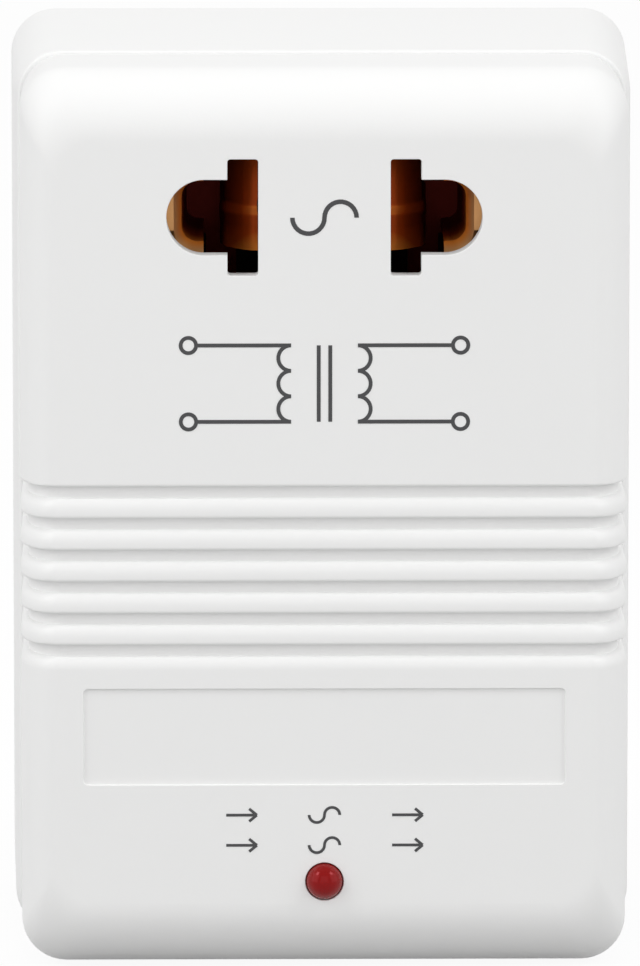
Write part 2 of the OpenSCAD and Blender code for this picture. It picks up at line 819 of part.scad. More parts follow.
// Bowed leaf spring at x, with its strip running away from the axle in direction dir
module leaf(x, z, dir) {
    steps = 8;
    crest = 5;
    strip_z = window_half - 0.2;
    rise = hump_y - inner_floor_y;
    far_z = window_half + leaf_run;
    bow = [for (k = [0 : steps])
        [inner_floor_y + rise * (1 - cos(180 * k / crest)) / 2, strip_z * (1 - k / crest)]];
    outline = concat([[inner_floor_y, far_z]], bow,
        [for (k = [steps : -1 : 0]) bow[k] - [leaf_t, 0]], [[inner_floor_y - leaf_t, far_z]]);
    color(bronze)
    translate([x - leaf_w / 2, 0, z])
        difference() {
            rotate([90, 0, 90]) linear_extrude(leaf_w)
                polygon([for (p = outline) [p[0], dir * p[1]]]);
            bar_y(leaf_stake_r, leaf_w / 2, dir * (window_half + leaf_run / 2),
                inner_floor_y - leaf_t - over, inner_floor_y + over);
        }
}

module round_pin_leaf_right() {
    leaf(pin_x, round_z, -1);
}

module round_pin_leaf_left() {
    leaf(-pin_x, round_z, -1);
}

module round_pin_wires() {
    color([0.12, 0.3, 0.6]) {
        wire(round_route, wire_d);
        wire(on_left(round_route), wire_d);
    }
}

module blade_leaf_right() {
    leaf(blade_x, blade_z, 1);
}

module blade_leaf_left() {
    leaf(-blade_x, blade_z, 1);
}

module blade_wires() {
    color([0.9, 0.88, 0.82]) {
        wire(blade_route, wire_d);
        wire(on_left(blade_route), wire_d);
    }
}

module core_e_stack() {
    color([0.4, 0.41, 0.43])
    along_y(core_front_y, core_back_y)
        difference() {
            translate([-core_w / 2, window_z[0]]) square([core_w, core_h - limb]);
            for (s = [-1, 1])
                translate([s * tongue * 0.75 - limb / 2, window_z[0] - over])
                    square([limb, window_z[1] - window_z[0] + over]);
        }
}

module core_i_stack() {
    color([0.36, 0.37, 0.39])
    block([-core_w / 2, core_front_y, core_z], [core_w / 2, core_back_y, window_z[0]]);
}

// Ring round the tongue, between two builds over the bobbin's tube
module coil_ring(inner, outer, z0, z1) {
    translate([0, core_mid_y, z0]) linear_extrude(z1 - z0)
        difference() {
            rounded(tube_w + 2 * outer, tube_d + 2 * outer, 0.6 + outer);
            rounded(tube_w + 2 * inner, tube_d + 2 * inner, 0.6 + max(inner, 0));
        }
}

module coil_bobbin() {
    color(nylon_white)
    difference() {
        union() {
            coil_ring(-bobbin_t, 0, bobbin_z[0], bobbin_z[1]);
            coil_ring(-bobbin_t, build_4 + flange_over, bobbin_z[0], coil_z[0]);
            coil_ring(-bobbin_t, build_4 + flange_over, coil_z[1], bobbin_z[1]);
            block([-rail_half_w, coil_front_y, coil_z[1]],
                [rail_half_w, core_front_y - rail_gap, bobbin_z[1] + rail_h]);
        }
        terminals();
    }
}

module inner_winding() {
    color(copper) coil_ring(0, build_1, coil_z[0], coil_z[1]);
}

module interlayer_tape() {
    color([0.85, 0.75, 0.35]) coil_ring(build_1, build_2, coil_z[0], coil_z[1]);
}

module outer_winding() {
    color(copper) coil_ring(build_2, build_3, coil_z[0], coil_z[1]);
}

module outer_tape() {
    color([0.85, 0.75, 0.35]) coil_ring(build_3, build_4, coil_z[0], coil_z[1]);
}

module insulation_sheet() {
    half = tube_w / 2 + build_4;
    color([0.2, 0.35, 0.3])
    block([-half, flange_back_y, bobbin_z[0]], [half, flange_back_y + sheet_t, bobbin_z[1]]);
}

module terminals() {
    for (x = terminal_xs, s = [-1, 1])
        translate([s * x, terminal_y, bobbin_z[1] + 0.6])
            cylinder(r = terminal_r, h = terminal_z - bobbin_z[1] - 0.6);
}

module terminal_pins() {
    color(nickel) terminals();
}

// Flat thermal fuse on the front of the coil, with its two leads
module thermal_fuse() {
    mid_z = (coil_z[0] + coil_z[1]) / 2;
    color([0.55, 0.2, 0.15])
    translate([0, coil_front_y - fuse_size[1] / 2, mid_z]) {
        cube(fuse_size, center = true);
        bar_x(lead_r, 0, 0, -fuse_size[0] / 2 - fuse_lead, fuse_size[0] / 2 + fuse_lead);
    }
}

front_shell();
rear_casing();
case_screws();
indicator_lamp();
lamp_leads();
lamp_board();
lamp_resistor();
lamp_wires();
socket_contact_left();
socket_contact_right();
contact_carrier();
carrier_screws();
socket_wires();
round_pin_carriage();
round_pin_left();
round_pin_right();
round_pin_axles();
round_pin_leaf_left();
round_pin_leaf_right();
round_pin_wires();
blade_carriage();
blade_left();
blade_right();
blade_axles();
blade_leaf_left();
blade_leaf_right();
blade_wires();
core_e_stack();
core_i_stack();
coil_bobbin();
inner_winding();
interlayer_tape();
outer_winding();
outer_tape();
insulation_sheet();
terminal_pins();
thermal_fuse();
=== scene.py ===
"""Looks of a plug-in travel voltage converter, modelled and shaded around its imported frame."""
import json
from math import atan2, cos, pi, radians, sin
from types import SimpleNamespace

import bmesh
import bpy
from bpy.props import FloatProperty, FloatVectorProperty, PointerProperty
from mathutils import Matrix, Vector


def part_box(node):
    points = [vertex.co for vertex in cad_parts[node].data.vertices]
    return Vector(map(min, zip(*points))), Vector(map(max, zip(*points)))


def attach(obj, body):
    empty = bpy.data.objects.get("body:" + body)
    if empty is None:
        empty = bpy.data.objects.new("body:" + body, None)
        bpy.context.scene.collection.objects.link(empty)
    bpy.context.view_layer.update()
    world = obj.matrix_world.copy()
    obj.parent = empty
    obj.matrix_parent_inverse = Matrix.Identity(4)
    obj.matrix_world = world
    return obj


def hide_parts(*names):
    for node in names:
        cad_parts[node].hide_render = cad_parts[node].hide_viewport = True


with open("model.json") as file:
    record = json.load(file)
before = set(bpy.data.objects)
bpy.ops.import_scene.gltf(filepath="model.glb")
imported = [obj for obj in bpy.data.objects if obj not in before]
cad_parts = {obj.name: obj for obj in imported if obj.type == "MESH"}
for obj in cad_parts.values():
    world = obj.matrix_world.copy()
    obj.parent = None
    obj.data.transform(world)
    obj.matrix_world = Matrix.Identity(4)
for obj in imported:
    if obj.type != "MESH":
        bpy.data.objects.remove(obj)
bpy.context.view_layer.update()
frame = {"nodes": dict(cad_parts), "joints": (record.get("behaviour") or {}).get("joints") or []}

bl_info = {
    "name": "Travel Converter Looks",
    "version": (1, 0, 0),
    "blender": (4, 5, 0),
    "location": "View3D > Sidebar > Converter",
    "description": "Models and shades the case, socket, lamp and folding plugs of a travel converter",
    "category": "Object",
}

# Pieces are modelled in millimetres and brought to metres when they are finished
MM = 1000.0
# Distances within which places count as the same and points are welded
NEAR = 0.003
WELD = NEAR / 10
# How far a cutting tool reaches past a piece, and a joined one into it
OVER = 1.0
FUSE = 0.3
SIDES = (-1, 1)
BAR_SIDES, ROUND_SIDES = 48, 64
# Angles in degrees up to which faces are shaded as one, on flat and on round pieces
SMOOTH, SMOOTH_ROUND = 32, 40


def box_mm(node):
    """Lowest and highest corner of a CAD node, in millimetres."""
    low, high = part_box(node)
    return Vector(low) * MM, Vector(high) * MM


def middle(node):
    """Middle of a CAD node's box, in millimetres."""
    low, high = box_mm(node)
    return (low + high) / 2


SHELL_LOW, SHELL_HIGH = box_mm("front_shell")
CASING_LOW, CASING_HIGH = box_mm("rear_casing")
CORE_LOW, CORE_HIGH = box_mm("core_e_stack")
CORE_FOOT = box_mm("core_i_stack")[0].z
CONTACT_LOW, CONTACT_HIGH = box_mm("socket_contact_right")
LAMP_LOW, LAMP_HIGH = box_mm("indicator_lamp")
BOARD_LOW, BOARD_HIGH = box_mm("lamp_board")
PIN_LOW, PIN_HIGH = box_mm("round_pin_right")
BLADE_LOW, BLADE_HIGH = box_mm("blade_right")
SCREWS_LOW, SCREWS_HIGH = box_mm("case_screws")
ROUND_HIGH = box_mm("round_pin_carriage")[1]
FLAT_HIGH = box_mm("blade_carriage")[1]
AXLE_AT = {joint["name"]: Vector(joint["pos_m"]) * MM for joint in frame["joints"]}

# Main planes and places, from the frame
HALF_W = SHELL_HIGH.x
TOP_Z = SHELL_HIGH.z
FACE_Y = SHELL_LOW.y
SEAM_Y = CASING_LOW.y
MEET_Y = SHELL_HIGH.y
BACK_Y = CASING_HIGH.y
ROUND_AXLE = AXLE_AT["round_pin_fold"]
BLADE_AXLE = AXLE_AT["blade_fold"]
PIN_X = middle("round_pin_right").x
BLADE_X = middle("blade_right").x
SOCKET_Z = middle("contact_carrier").z
LAMP_Z = middle("indicator_lamp").z
SCREW_HEAD, SCREW_HEAD_H = 4.4, 1.6
SCREW_X = SCREWS_HIGH.x - SCREW_HEAD / 2
SCREW_ZS = (SCREWS_LOW.z + SCREW_HEAD / 2, SCREWS_HIGH.z - SCREW_HEAD / 2)
SCREW_SEAT_Y = SCREWS_HIGH.y - SCREW_HEAD_H
CORE_POST_X = CORE_HIGH.x - (CORE_HIGH.x - CORE_LOW.x) / 12
CORE_POST_IN = 3.0
CORE_POST_ZS = (CORE_FOOT + CORE_POST_IN, CORE_HIGH.z - CORE_POST_IN)
# Room past the tip of a folded pin or blade
TIP_GAP = 0.8
PIN_END_Z = ROUND_AXLE.z - (PIN_HIGH.y - ROUND_AXLE.y) - TIP_GAP
BLADE_END_Z = BLADE_HIGH.z + TIP_GAP


def length(name, description, millimetres):
    """A size that can be changed, kept in metres."""
    return FloatProperty(
        name=name, description=description, default=millimetres / MM, unit="LENGTH", precision=5
    )


def angle(name, description, degrees):
    """An angle that can be changed."""
    return FloatProperty(name=name, description=description, default=radians(degrees), subtype="ANGLE")


def power(name, description, watts):
    """Power of a light that can be changed."""
    return FloatProperty(name=name, description=description, default=watts, unit="POWER")


def colour(name, description, rgb):
    """A colour that can be changed."""
    return FloatVectorProperty(
        name=name, description=description, default=rgb, subtype="COLOR", min=0.0, max=1.0, size=3
    )


class ConverterCaseSizes(bpy.types.PropertyGroup):
    """Sizes of the two mouldings of the case."""

    wall: length("Wall", "Thickness of the moulded walls", 2.0)
    corner: length("Corner", "Corner radius of the case, seen from the front", 3.5)
    face_round: length("Face rounding", "Rounding of the top and bottom edges of the face", 5.3)
    side_round: length("Side rounding", "Rounding of the side edges of the face", 2.8)
    back_round: length("Back rounding", "Rounding of the edges of the back", 1.6)
    seam_step: length("Seam step", "How far the rear casing stands proud at the seam", 0.25)
    shoulder: length("Shoulder", "Depth behind the seam over which the rear casing widens fast", 2.5)
    shoulder_in: length("Shoulder inset", "How far that shoulder stands inside the widest part", 0.52)
    seam_round: length("Seam rounding", "Rounding of the edges that meet at the seam", 0.18)
    rim_round: length("Rim rounding", "Rounding of the edges of openings", 0.06)
    lip: length("Lip", "Thickness of the tongue inside the seam", 0.9)
    groove_pitch: length("Groove pitch", "Distance between the grooves", 2.5)
    groove_height: length("Groove height", "Height of a groove", 0.9)
    groove_depth: length("Groove depth", "Depth of a groove", 0.6)
    groove_middle: length("Groove middle", "Height of the middle of the grooves", 31.72)
    panel_width: length("Panel width", "Width of the blank panel", 37.7)
    panel_height: length("Panel height", "Height of the blank panel", 7.6)
    panel_depth: length("Panel depth", "Depth of the blank panel", 0.2)
    panel_middle: length("Panel middle", "Height of the middle of the panel", 18.6)


class ConverterSocketSizes(bpy.types.PropertyGroup):
    """Sizes of the socket's openings and contacts."""

    slot_pitch: length("Slot pitch", "Spacing of the flat slots", 12.7)
    slot_width: length("Slot width", "Width of a flat slot", 2.4)
    slot_height: length("Slot height", "Height of a flat slot", 9.1)
    hole_pitch: length("Hole pitch", "Spacing of the round holes", 18.7)
    hole_diameter: length("Hole diameter", "Diameter of a round hole", 5.9)
    strip: length("Strip", "Thickness of the contact strip", 0.4)


class ConverterPlugSizes(bpy.types.PropertyGroup):
    """Sizes of the folding plugs and of their pockets."""

    barrel: length("Barrel", "Radius of the barrels that carry the pins and blades", 3.3)
    block: length("Block", "Half height of the block in front of a barrel", 2.8)
    pocket_gap: length("Pocket gap", "Room beside a carriage", 0.3)
    pocket_wall: length("Pocket wall", "Thickness of the walls round a pocket", 1.5)
    axle: length("Axle", "Diameter of the plug axles", 2.0)
    pin: length("Pin", "Diameter of a round pin", 4.0)
    tail: length("Tail", "Diameter of a round pin's tail", 3.2)
    blade_thickness: length("Blade thickness", "Thickness of a blade", 1.5)
    channel_gap: length("Channel gap", "Room beside a folded pin or blade", 0.45)
    grip_depth: length("Grip depth", "Depth of the finger grips", 3.2)
    grip_height: length("Grip height", "Height of the finger grips", 7.0)


class ConverterColours(bpy.types.PropertyGroup):
    """Colours of the finishes, as linear values."""

    case: colour("Case", "Moulded case", (0.89, 0.89, 0.885))
    ink: colour("Ink", "Printed marks", (0.055, 0.055, 0.058))
    lamp: colour("Lamp", "Lamp dome", (0.26, 0.003, 0.0015))
    bronze: colour("Bronze", "Contact strip at the mouth of the socket", (0.72, 0.37, 0.15))
    # Painted light: a bright copper hue standing in for the light that reaches a little way into the socket
    copper: colour("Copper", "Contact strip a little further in", (0.85, 0.27, 0.04))
    # Painted shade: darker colour for the middle of the socket's depth
    oxide: colour("Oxide", "Contact strip in the middle of its depth", (0.34, 0.05, 0.005))
    # Painted shade: near black for the shade deep inside the case
    tarnish: colour("Tarnish", "Contact strip deep inside the case", (0.06, 0.003, 0.0006))
    nickel: colour("Nickel", "Plated pins and blades", (0.66, 0.64, 0.60))
    steel: colour("Steel", "Zinc-plated screws", (0.50, 0.51, 0.53))


class ConverterStage(bpy.types.PropertyGroup):
    """Camera and light."""

    distance: length("Distance", "Distance of the camera from the face", 800.0)
    lens: FloatProperty(name="Lens", description="Focal length of the camera in millimetres", default=382.0)
    elevation: angle("Elevation", "Height of the camera above level", 8.1)
    azimuth: angle("Azimuth", "Turn of the camera to the left", 0.7)
    aim_up: length("Aim up", "How far above the middle of the face the camera aims", 3.24)
    aim_left: length("Aim left", "How far left of the middle of the face the camera aims", 0.35)
    key: power("Key", "Power of the softbox on the left", 0.72)
    fill: power("Fill", "Power of the softbox on the right", 0.6)
    front: power("Front", "Power of the softbox in front", 1.0)
    spots: power("Spots", "Power of each small lamp", 0.45)
    ambient: FloatProperty(name="Ambient", description="Level of the surrounding light", default=0.8)


def sizes(group):
    """The lengths of a property group, in millimetres."""
    return SimpleNamespace(**{name: getattr(group, name) * MM for name in group.__annotations__})


def leave_edit():
    """Go back to object mode."""
    bpy.ops.object.mode_set(mode="OBJECT")


def deselect():
    """Leave edit mode and deselect everything."""
    if bpy.context.mode != "OBJECT":
        leave_edit()
    bpy.ops.object.select_all(action="DESELECT")


def activate(piece):
    """Make a piece the only selected one."""
    deselect()
    piece.select_set(True)
    bpy.context.view_layer.objects.active = piece


def edit_all(piece):
    """Edit a piece with all of its mesh selected."""
    activate(piece)
    bpy.ops.object.mode_set(mode="EDIT")
    bpy.ops.mesh.select_all(action="SELECT")


def settle(piece):
    """Put a piece's place, turn and scale into its mesh."""
    activate(piece)
    bpy.ops.object.transform_apply(location=True, rotation=True, scale=True)
    return piece


def face_outwards(piece):
    """Turn all faces of a piece outwards."""
    edit_all(piece)
    bpy.ops.mesh.normals_make_consistent(inside=False)
    leave_edit()


def add_block(name, low, high):
    """A block between two corners."""
    deselect()
    low, high = Vector(low), Vector(high)
    bpy.ops.mesh.primitive_cube_add(size=1.0, location=(low + high) / 2)
    piece = bpy.context.object
    piece.name = name
    piece.scale = high - low
    return settle(piece)


def add_bar(name, start, end, radius, sides=BAR_SIDES):
    """A round bar between two points."""
    deselect()
    start, end = Vector(start), Vector(end)
    run = end - start
    turn = run.to_track_quat("Z", "Y").to_euler()
    bpy.ops.mesh.primitive_cylinder_add(
        vertices=sides, radius=radius, depth=run.length, location=(start + end) / 2, rotation=turn
    )
    piece = bpy.context.object
    piece.name = name
    return settle(piece)


def add_rod(name, x, z, start, end, radius, sides=BAR_SIDES):
    """A round bar along Y."""
    return add_bar(name, (x, start, z), (x, end, z), radius, sides)


def pick(piece, kind, test):
    """Select in edit mode the vertices, edges or faces that pass a test."""
    if bpy.context.object != piece or bpy.context.mode != "EDIT_MESH":
        activate(piece)
        bpy.ops.object.mode_set(mode="EDIT")
    bpy.ops.mesh.select_mode(type=kind)
    bpy.ops.mesh.select_all(action="DESELECT")
    mesh = bmesh.from_edit_mesh(piece.data)
    items = {"VERT": mesh.verts, "EDGE": mesh.edges, "FACE": mesh.faces}[kind]
    chosen = [item for item in items if test(item)]
    for item in chosen:
        item.select_set(True)
    mesh.select_flush_mode()
    bmesh.update_edit_mesh(piece.data)
    return len(chosen)


def along(axis):
    """Test for edges that run along an axis."""
    return lambda edge: abs((edge.verts[1].co - edge.verts[0].co).normalized()[axis]) > 0.999


def at(axis, place):
    """Test for items that lie wholly at a place on an axis."""
    return lambda item: all(abs(vert.co[axis] - place) < NEAR for vert in item.verts)


def sharp(edge, least=0.6):
    """Test for edges that turn by more than an angle."""
    return len(edge.link_faces) == 2 and edge.calc_face_angle(0.0) > least


def bevel(piece, test, offset, segments=3):
    """Round the edges that pass a test."""
    if pick(piece, "EDGE", test):
        bpy.ops.mesh.bevel(
            offset=offset, offset_type="OFFSET", segments=segments, profile=0.5, affect="EDGES"
        )
    leave_edit()
    return piece


def slice_at(point, normal):
    """Cut the edited mesh along a plane and keep both sides."""
    bpy.ops.mesh.select_all(action="SELECT")
    bpy.ops.mesh.bisect(plane_co=point, plane_no=normal, threshold=WELD)


def stretch(piece, axis, place, scale, centre):
    """Resize the loop of a piece at a place on an axis, about a centre."""
    pick(piece, "VERT", lambda vert: abs(vert.co[axis] - place) < NEAR)
    bpy.ops.transform.resize(value=scale, center_override=centre)


def combine(piece, tool, operation):
    """Cut a tool out of a piece, or join it on, and remove the tool."""
    activate(piece)
    modifier = piece.modifiers.new(operation.title(), "BOOLEAN")
    modifier.operation = operation
    modifier.solver = "EXACT"
    modifier.object = tool
    bpy.ops.object.modifier_apply(modifier=modifier.name)
    bpy.data.objects.remove(tool)
    return piece


def cut(piece, tool):
    """Cut a tool out of a piece."""
    return combine(piece, tool, "DIFFERENCE")


def fuse(piece, tool):
    """Join a tool onto a piece."""
    return combine(piece, tool, "UNION")


def draw_out(piece, start, end, half, top, shrink, steps):
    """Extrude the end face of a block from one Y to another, and round its rim by a shrink in X and Z."""
    pick(piece, "FACE", at(1, start))
    full = (half, top / 2)
    place, size = start, full
    for step in range(1, steps + 1):
        turn = pi / 2 * step / steps
        new_place = start + (end - start) * sin(turn)
        new_size = [reach - inset * (1 - cos(turn)) for reach, inset in zip(full, shrink)]
        bpy.ops.mesh.extrude_region_move(TRANSFORM_OT_translate={"value": (0, new_place - place, 0)})
        scale = (new_size[0] / size[0], 1, new_size[1] / size[1])
        bpy.ops.transform.resize(value=scale, center_override=(0, new_place, top / 2))
        place, size = new_place, new_size
    leave_edit()


def duplicated(piece):
    """A copy of a piece, left as the active one."""
    activate(piece)
    bpy.ops.object.duplicate()
    return bpy.context.object


def joined(name, pieces):
    """Several pieces as one object."""
    deselect()
    for piece in pieces:
        piece.select_set(True)
    bpy.context.view_layer.objects.active = pieces[0]
    bpy.ops.object.join()
    pieces[0].name = name
    return pieces[0]


def finish(piece, slot, body, nodes=(), smooth=SMOOTH, look=None):
    """Bring a finished piece to metres, shade it and set it on its body."""
    edit_all(piece)
    bpy.ops.mesh.remove_doubles(threshold=WELD)
    bpy.ops.mesh.delete_loose()
    leave_edit()
    piece.scale = (1 / MM, 1 / MM, 1 / MM)
    settle(piece)
    bpy.ops.object.shade_smooth_by_angle(angle=radians(smooth))
    modifier = piece.modifiers.new("Flat faces", "WEIGHTED_NORMAL")
    modifier.keep_sharp = True
    modifier.weight = 80
    bpy.ops.object.modifier_apply(modifier=modifier.name)
    piece.data.materials.clear()
    piece.data.materials.append(material_named(look or slot))
    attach(piece, body)
    if nodes:
        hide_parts(*nodes)


def finish_pair(right, slot, body, node, smooth=SMOOTH):
    """Finish a right-hand piece and its mirrored copy."""
    left = duplicated(right)
    left.name = right.name.replace("right", "left")
    left.scale.x = -1
    settle(left)
    face_outwards(left)
    for piece, side in ((right, "right"), (left, "left")):
        finish(piece, slot, body, [f"{node}_{side}"], smooth)


def add_node(tree, kind, inputs=None, **settings):
    """A shader node with its settings, and with sockets or plain values on its inputs."""
    node = tree.nodes.new(f"ShaderNode{kind}")
    for name, value in settings.items():
        setattr(node, name, value)
    for key, value in (inputs or {}).items():
        if isinstance(value, bpy.types.NodeSocket):
            tree.links.new(value, node.inputs[key])
        else:
            node.inputs[key].default_value = value
    return node


def new_group(name, inputs, outputs):
    """An empty shader node group that takes a place and other values, and the sockets of its two ends."""
    group = bpy.data.node_groups.new(name, "ShaderNodeTree")
    sockets = group.interface
    sockets.new_socket(name="Vector", in_out="INPUT", socket_type="NodeSocketVector")
    for socket, value in inputs.items():
        kind = "Vector" if isinstance(value, tuple) else "Float"
        made = sockets.new_socket(name=socket, in_out="INPUT", socket_type=f"NodeSocket{kind}")
        made.default_value = value
    for socket in outputs:
        sockets.new_socket(name=socket, in_out="OUTPUT", socket_type="NodeSocketFloat")
    return group, group.nodes.new("NodeGroupInput").outputs, group.nodes.new("NodeGroupOutput").inputs


def add_noise(group, vector, scale, detail, roughness=0.5):
    """A noise texture in a group, driven by two of its sockets."""
    inputs = {"Vector": vector, "Scale": scale, "Detail": detail, "Roughness": roughness}
    return add_node(group, "TexNoise", inputs).outputs["Fac"]


def moulded_skin(name):
    """Group for mouldings: a slow tone across the surface and the fine grain of the mould."""
    group, start, end = new_group(name, {"Tone Scale": 60.0, "Grain Scale": 4000.0}, ("Tone", "Grain"))
    for output, detail in (("Tone", 2.0), ("Grain", 1.0)):
        noise = add_noise(group, start["Vector"], start[f"{output} Scale"], detail)
        group.links.new(noise, end[output])
    return group


def drawn_metal(name):
    """Group for metal: streaks along the strip or bar, and a patchy tarnish."""
    inputs = {"Stretch": (1.0, 0.05, 1.0), "Streak Scale": 6000.0, "Tarnish Scale": 350.0}
    group, start, end = new_group(name, inputs, ("Streak", "Tarnish"))
    drawn = add_node(group, "VectorMath", {0: start["Vector"], 1: start["Stretch"]}, operation="MULTIPLY")
    streak = add_noise(group, drawn.outputs["Vector"], start["Streak Scale"], 3.0)
    tarnish = add_noise(group, start["Vector"], start["Tarnish Scale"], 4.0, 0.6)
    group.links.new(streak, end["Streak"])
    group.links.new(tarnish, end["Tarnish"])
    return group


def even_layers(name):
    """Group for stacked sheets and wound wire: a ridge at every pitch along one axis."""
    group, start, end = new_group(name, {"Axis": (0.0, 0.0, 1.0), "Pitch": 0.0004}, ("Ridge",))
    place = add_node(group, "VectorMath", {0: start["Vector"], 1: start["Axis"]}, operation="DOT_PRODUCT")
    count = add_node(group, "Math", {0: place.outputs["Value"], 1: start["Pitch"]}, operation="DIVIDE")
    wave = add_node(group, "Math", {0: count.outputs["Value"], 1: 0.5}, operation="PINGPONG")
    ridge = add_node(group, "Math", {0: wave.outputs["Value"], 1: 2.0}, operation="MULTIPLY")
    group.links.new(ridge.outputs["Value"], end["Ridge"])
    return group


GROUPS = {"Moulded Skin": moulded_skin, "Drawn Metal": drawn_metal, "Even Layers": even_layers}


class Finish:
    """A material with a Principled shader and Object coordinates, built up socket by socket."""

    def __init__(self, name, rgb, values):
        self.material = bpy.data.materials.new(name)
        self.material.use_nodes = True
        self.tree = self.material.node_tree
        self.sockets = self.tree.nodes["Principled BSDF"].inputs
        self.place = add_node(self.tree, "TexCoord").outputs["Object"]
        self.rgb = rgb
        for socket, value in {"Base Color": (*rgb, 1.0), **values}.items():
            self.sockets[socket].default_value = value

    def add_group(self, name, **values):
        """A shared group, built once, with its own values here."""
        group = bpy.data.node_groups.get(name) or GROUPS[name](name)
        inputs = {socket.replace("_", " ").title(): value for socket, value in values.items()}
        return add_node(self.tree, "Group", {"Vector": self.place, **inputs}, node_tree=group).outputs

    def vary_colour(self, mask, other):
        """Blend the base colour towards another one by a mask."""
        inputs = {0: mask, 6: (*self.rgb, 1.0), 7: (*other, 1.0)}
        mix = add_node(self.tree, "Mix", inputs, data_type="RGBA")
        self.tree.links.new(mix.outputs[2], self.sockets["Base Color"])

    def grade(self, mask, steps):
        """Run a mask through colours, each with its place."""
        ramp = add_node(self.tree, "ValToRGB", {"Fac": mask})
        stops = ramp.color_ramp.elements
        for index, (place, hue) in enumerate(steps):
            stop = stops[index] if index < 2 else stops.new(place)
            stop.position = place
            stop.color = (*hue, 1.0)
        return ramp.outputs["Color"]

    def math(self, operation, *values):
        """Result of a sum or other operation on sockets."""
        return add_node(self.tree, "Math", dict(enumerate(values)), operation=operation).outputs["Value"]

    def ramp(self, axis, start, end):
        """Mask that rises between two places along an axis, given in millimetres, alike on both sides."""
        place = add_node(self.tree, "SeparateXYZ", {"Vector": self.place}).outputs[axis]
        if axis == "X":
            place = self.math("ABSOLUTE", place)
        inputs = {"Value": place, "From Min": start / MM, "From Max": end / MM}
        return add_node(self.tree, "MapRange", inputs).outputs["Result"]

    def vary_roughness(self, mask, low, high):
        """Spread the roughness between two values by a mask."""
        spread = add_node(self.tree, "MapRange", {"Value": mask, "To Min": low, "To Max": high})
        self.tree.links.new(spread.outputs["Result"], self.sockets["Roughness"])

    def bump(self, height, distance, strength=0.3):
        """Raise the surface by a height, in metres."""
        inputs = {"Height": height, "Distance": distance, "Strength": strength}
        node = add_node(self.tree, "Bump", inputs)
        self.tree.links.new(node.outputs["Normal"], self.sockets["Normal"])


def darker(rgb, share):
    """A colour brought down by a share."""
    return tuple(channel * (1 - share) for channel in rgb)


# Heights of the grain of a mould, of drawn metal and of tarnish, in metres
MOULD_GRAIN, DRAWN_GRAIN, TARNISH_GRAIN = 0.00001, 0.000004, 0.00001


def plastic(name, rgb, low, high, spread=0.03, grain=MOULD_GRAIN, values=None):
    """Moulded plastic with a slow tone, varied gloss and the grain of its mould."""
    made = Finish(name, rgb, values or {})
    skin = made.add_group("Moulded Skin")
    made.vary_colour(skin["Tone"], darker(rgb, spread))
    made.vary_roughness(skin["Tone"], low, high)
    made.bump(skin["Grain"], grain)


def metal(name, rgb, low, high, spread=0.25, drawn_out=(1.0, 0.05, 1.0)):
    """Drawn or plated metal with streaks and a patchy tarnish."""
    made = Finish(name, rgb, {"Metallic": 1.0})
    drawn = made.add_group("Drawn Metal", stretch=drawn_out)
    made.vary_colour(drawn["Tarnish"], darker(rgb, spread))
    made.vary_roughness(drawn["Streak"], low, high)
    made.bump(drawn["Streak"], DRAWN_GRAIN)


# Painted shade of the contacts: depth behind the mouth at which they are painted wholly dark, where their
# leaf starts, and the steps of the painted shade
PAINTED_SHADE_DEPTH = 7.0
LEAF_SHADE_TURN = (9.0, 8.3)
PAINTED_SHADE_STEPS = (0.0, 0.07, 0.45, 1.0)
LEAF_LOW, LEAF_HIGH = -3.1, 4.2
# Painted shade of the leaf along its height, with painted highlights on its pressed ridge and at its lower
# edge
LEAF_SHADE_AND_HIGHLIGHTS = (
    (0.0, 0.05), (0.26, 0.46), (0.36, 0.46), (0.39, 0.26), (0.47, 0.26), (0.50, 0.46), (1.0, 0.38)
)


def painted_shade_bronze(name, rgb, low, high, *deeper_shades):
    """Bronze strip with painted light and shade: bright at the face of the case, painted darker further in
    and on its leaf, with painted highlights on the leaf's ridge and lower edge.
    """
    made = Finish(name, rgb, {"Metallic": 0.5, "Specular IOR Level": 0.08})
    drawn = made.add_group("Drawn Metal", stretch=(0.3, 1.0, 1.0))
    # Painted shade: the colour darkens with depth behind the mouth, standing in for the shade inside the
    # socket
    depth_shade = made.ramp("Y", CONTACT_LOW.y, CONTACT_LOW.y + PAINTED_SHADE_DEPTH)
    leaf = made.ramp("X", *LEAF_SHADE_TURN)
    height = made.ramp("Z", SOCKET_Z + LEAF_LOW, SOCKET_Z + LEAF_HIGH)
    # Painted shade on the leaf, with painted highlights on its pressed ridge and at its lower edge
    leaf_shade = made.grade(height, [(place, (share, share, share)) for place, share in LEAF_SHADE_AND_HIGHLIGHTS])
    tarnish = made.math("ADD", depth_shade, made.math("MULTIPLY", leaf, leaf_shade))
    hues = (rgb, *(named_colour(hue) for hue in deeper_shades))
    made.tree.links.new(made.grade(tarnish, zip(PAINTED_SHADE_STEPS, hues)), made.sockets["Base Color"])
    made.vary_roughness(drawn["Streak"], low, high)
    made.bump(drawn["Tarnish"], TARNISH_GRAIN)


def layered(name, rgb, low, high, joint, axis, pitch, height, metallic=0.0):
    """Stacked sheets or wound turns, with a shadow in each joint."""
    made = Finish(name, rgb, {"Metallic": metallic})
    layers = made.add_group("Even Layers", axis=axis, pitch=pitch)
    skin = made.add_group("Moulded Skin", tone_scale=250.0)
    made.vary_colour(layers["Ridge"], joint)
    made.vary_roughness(skin["Tone"], low, high)
    made.bump(layers["Ridge"], height, 0.6)


ACROSS, UPRIGHT = (0.0, 1.0, 0.0), (0.0, 0.0, 1.0)
DULL = {"Specular IOR Level": 0.05}
RED_GLASS = {"Specular IOR Level": 0.6, "Specular Tint": (1.0, 0.25, 0.28, 1.0)}
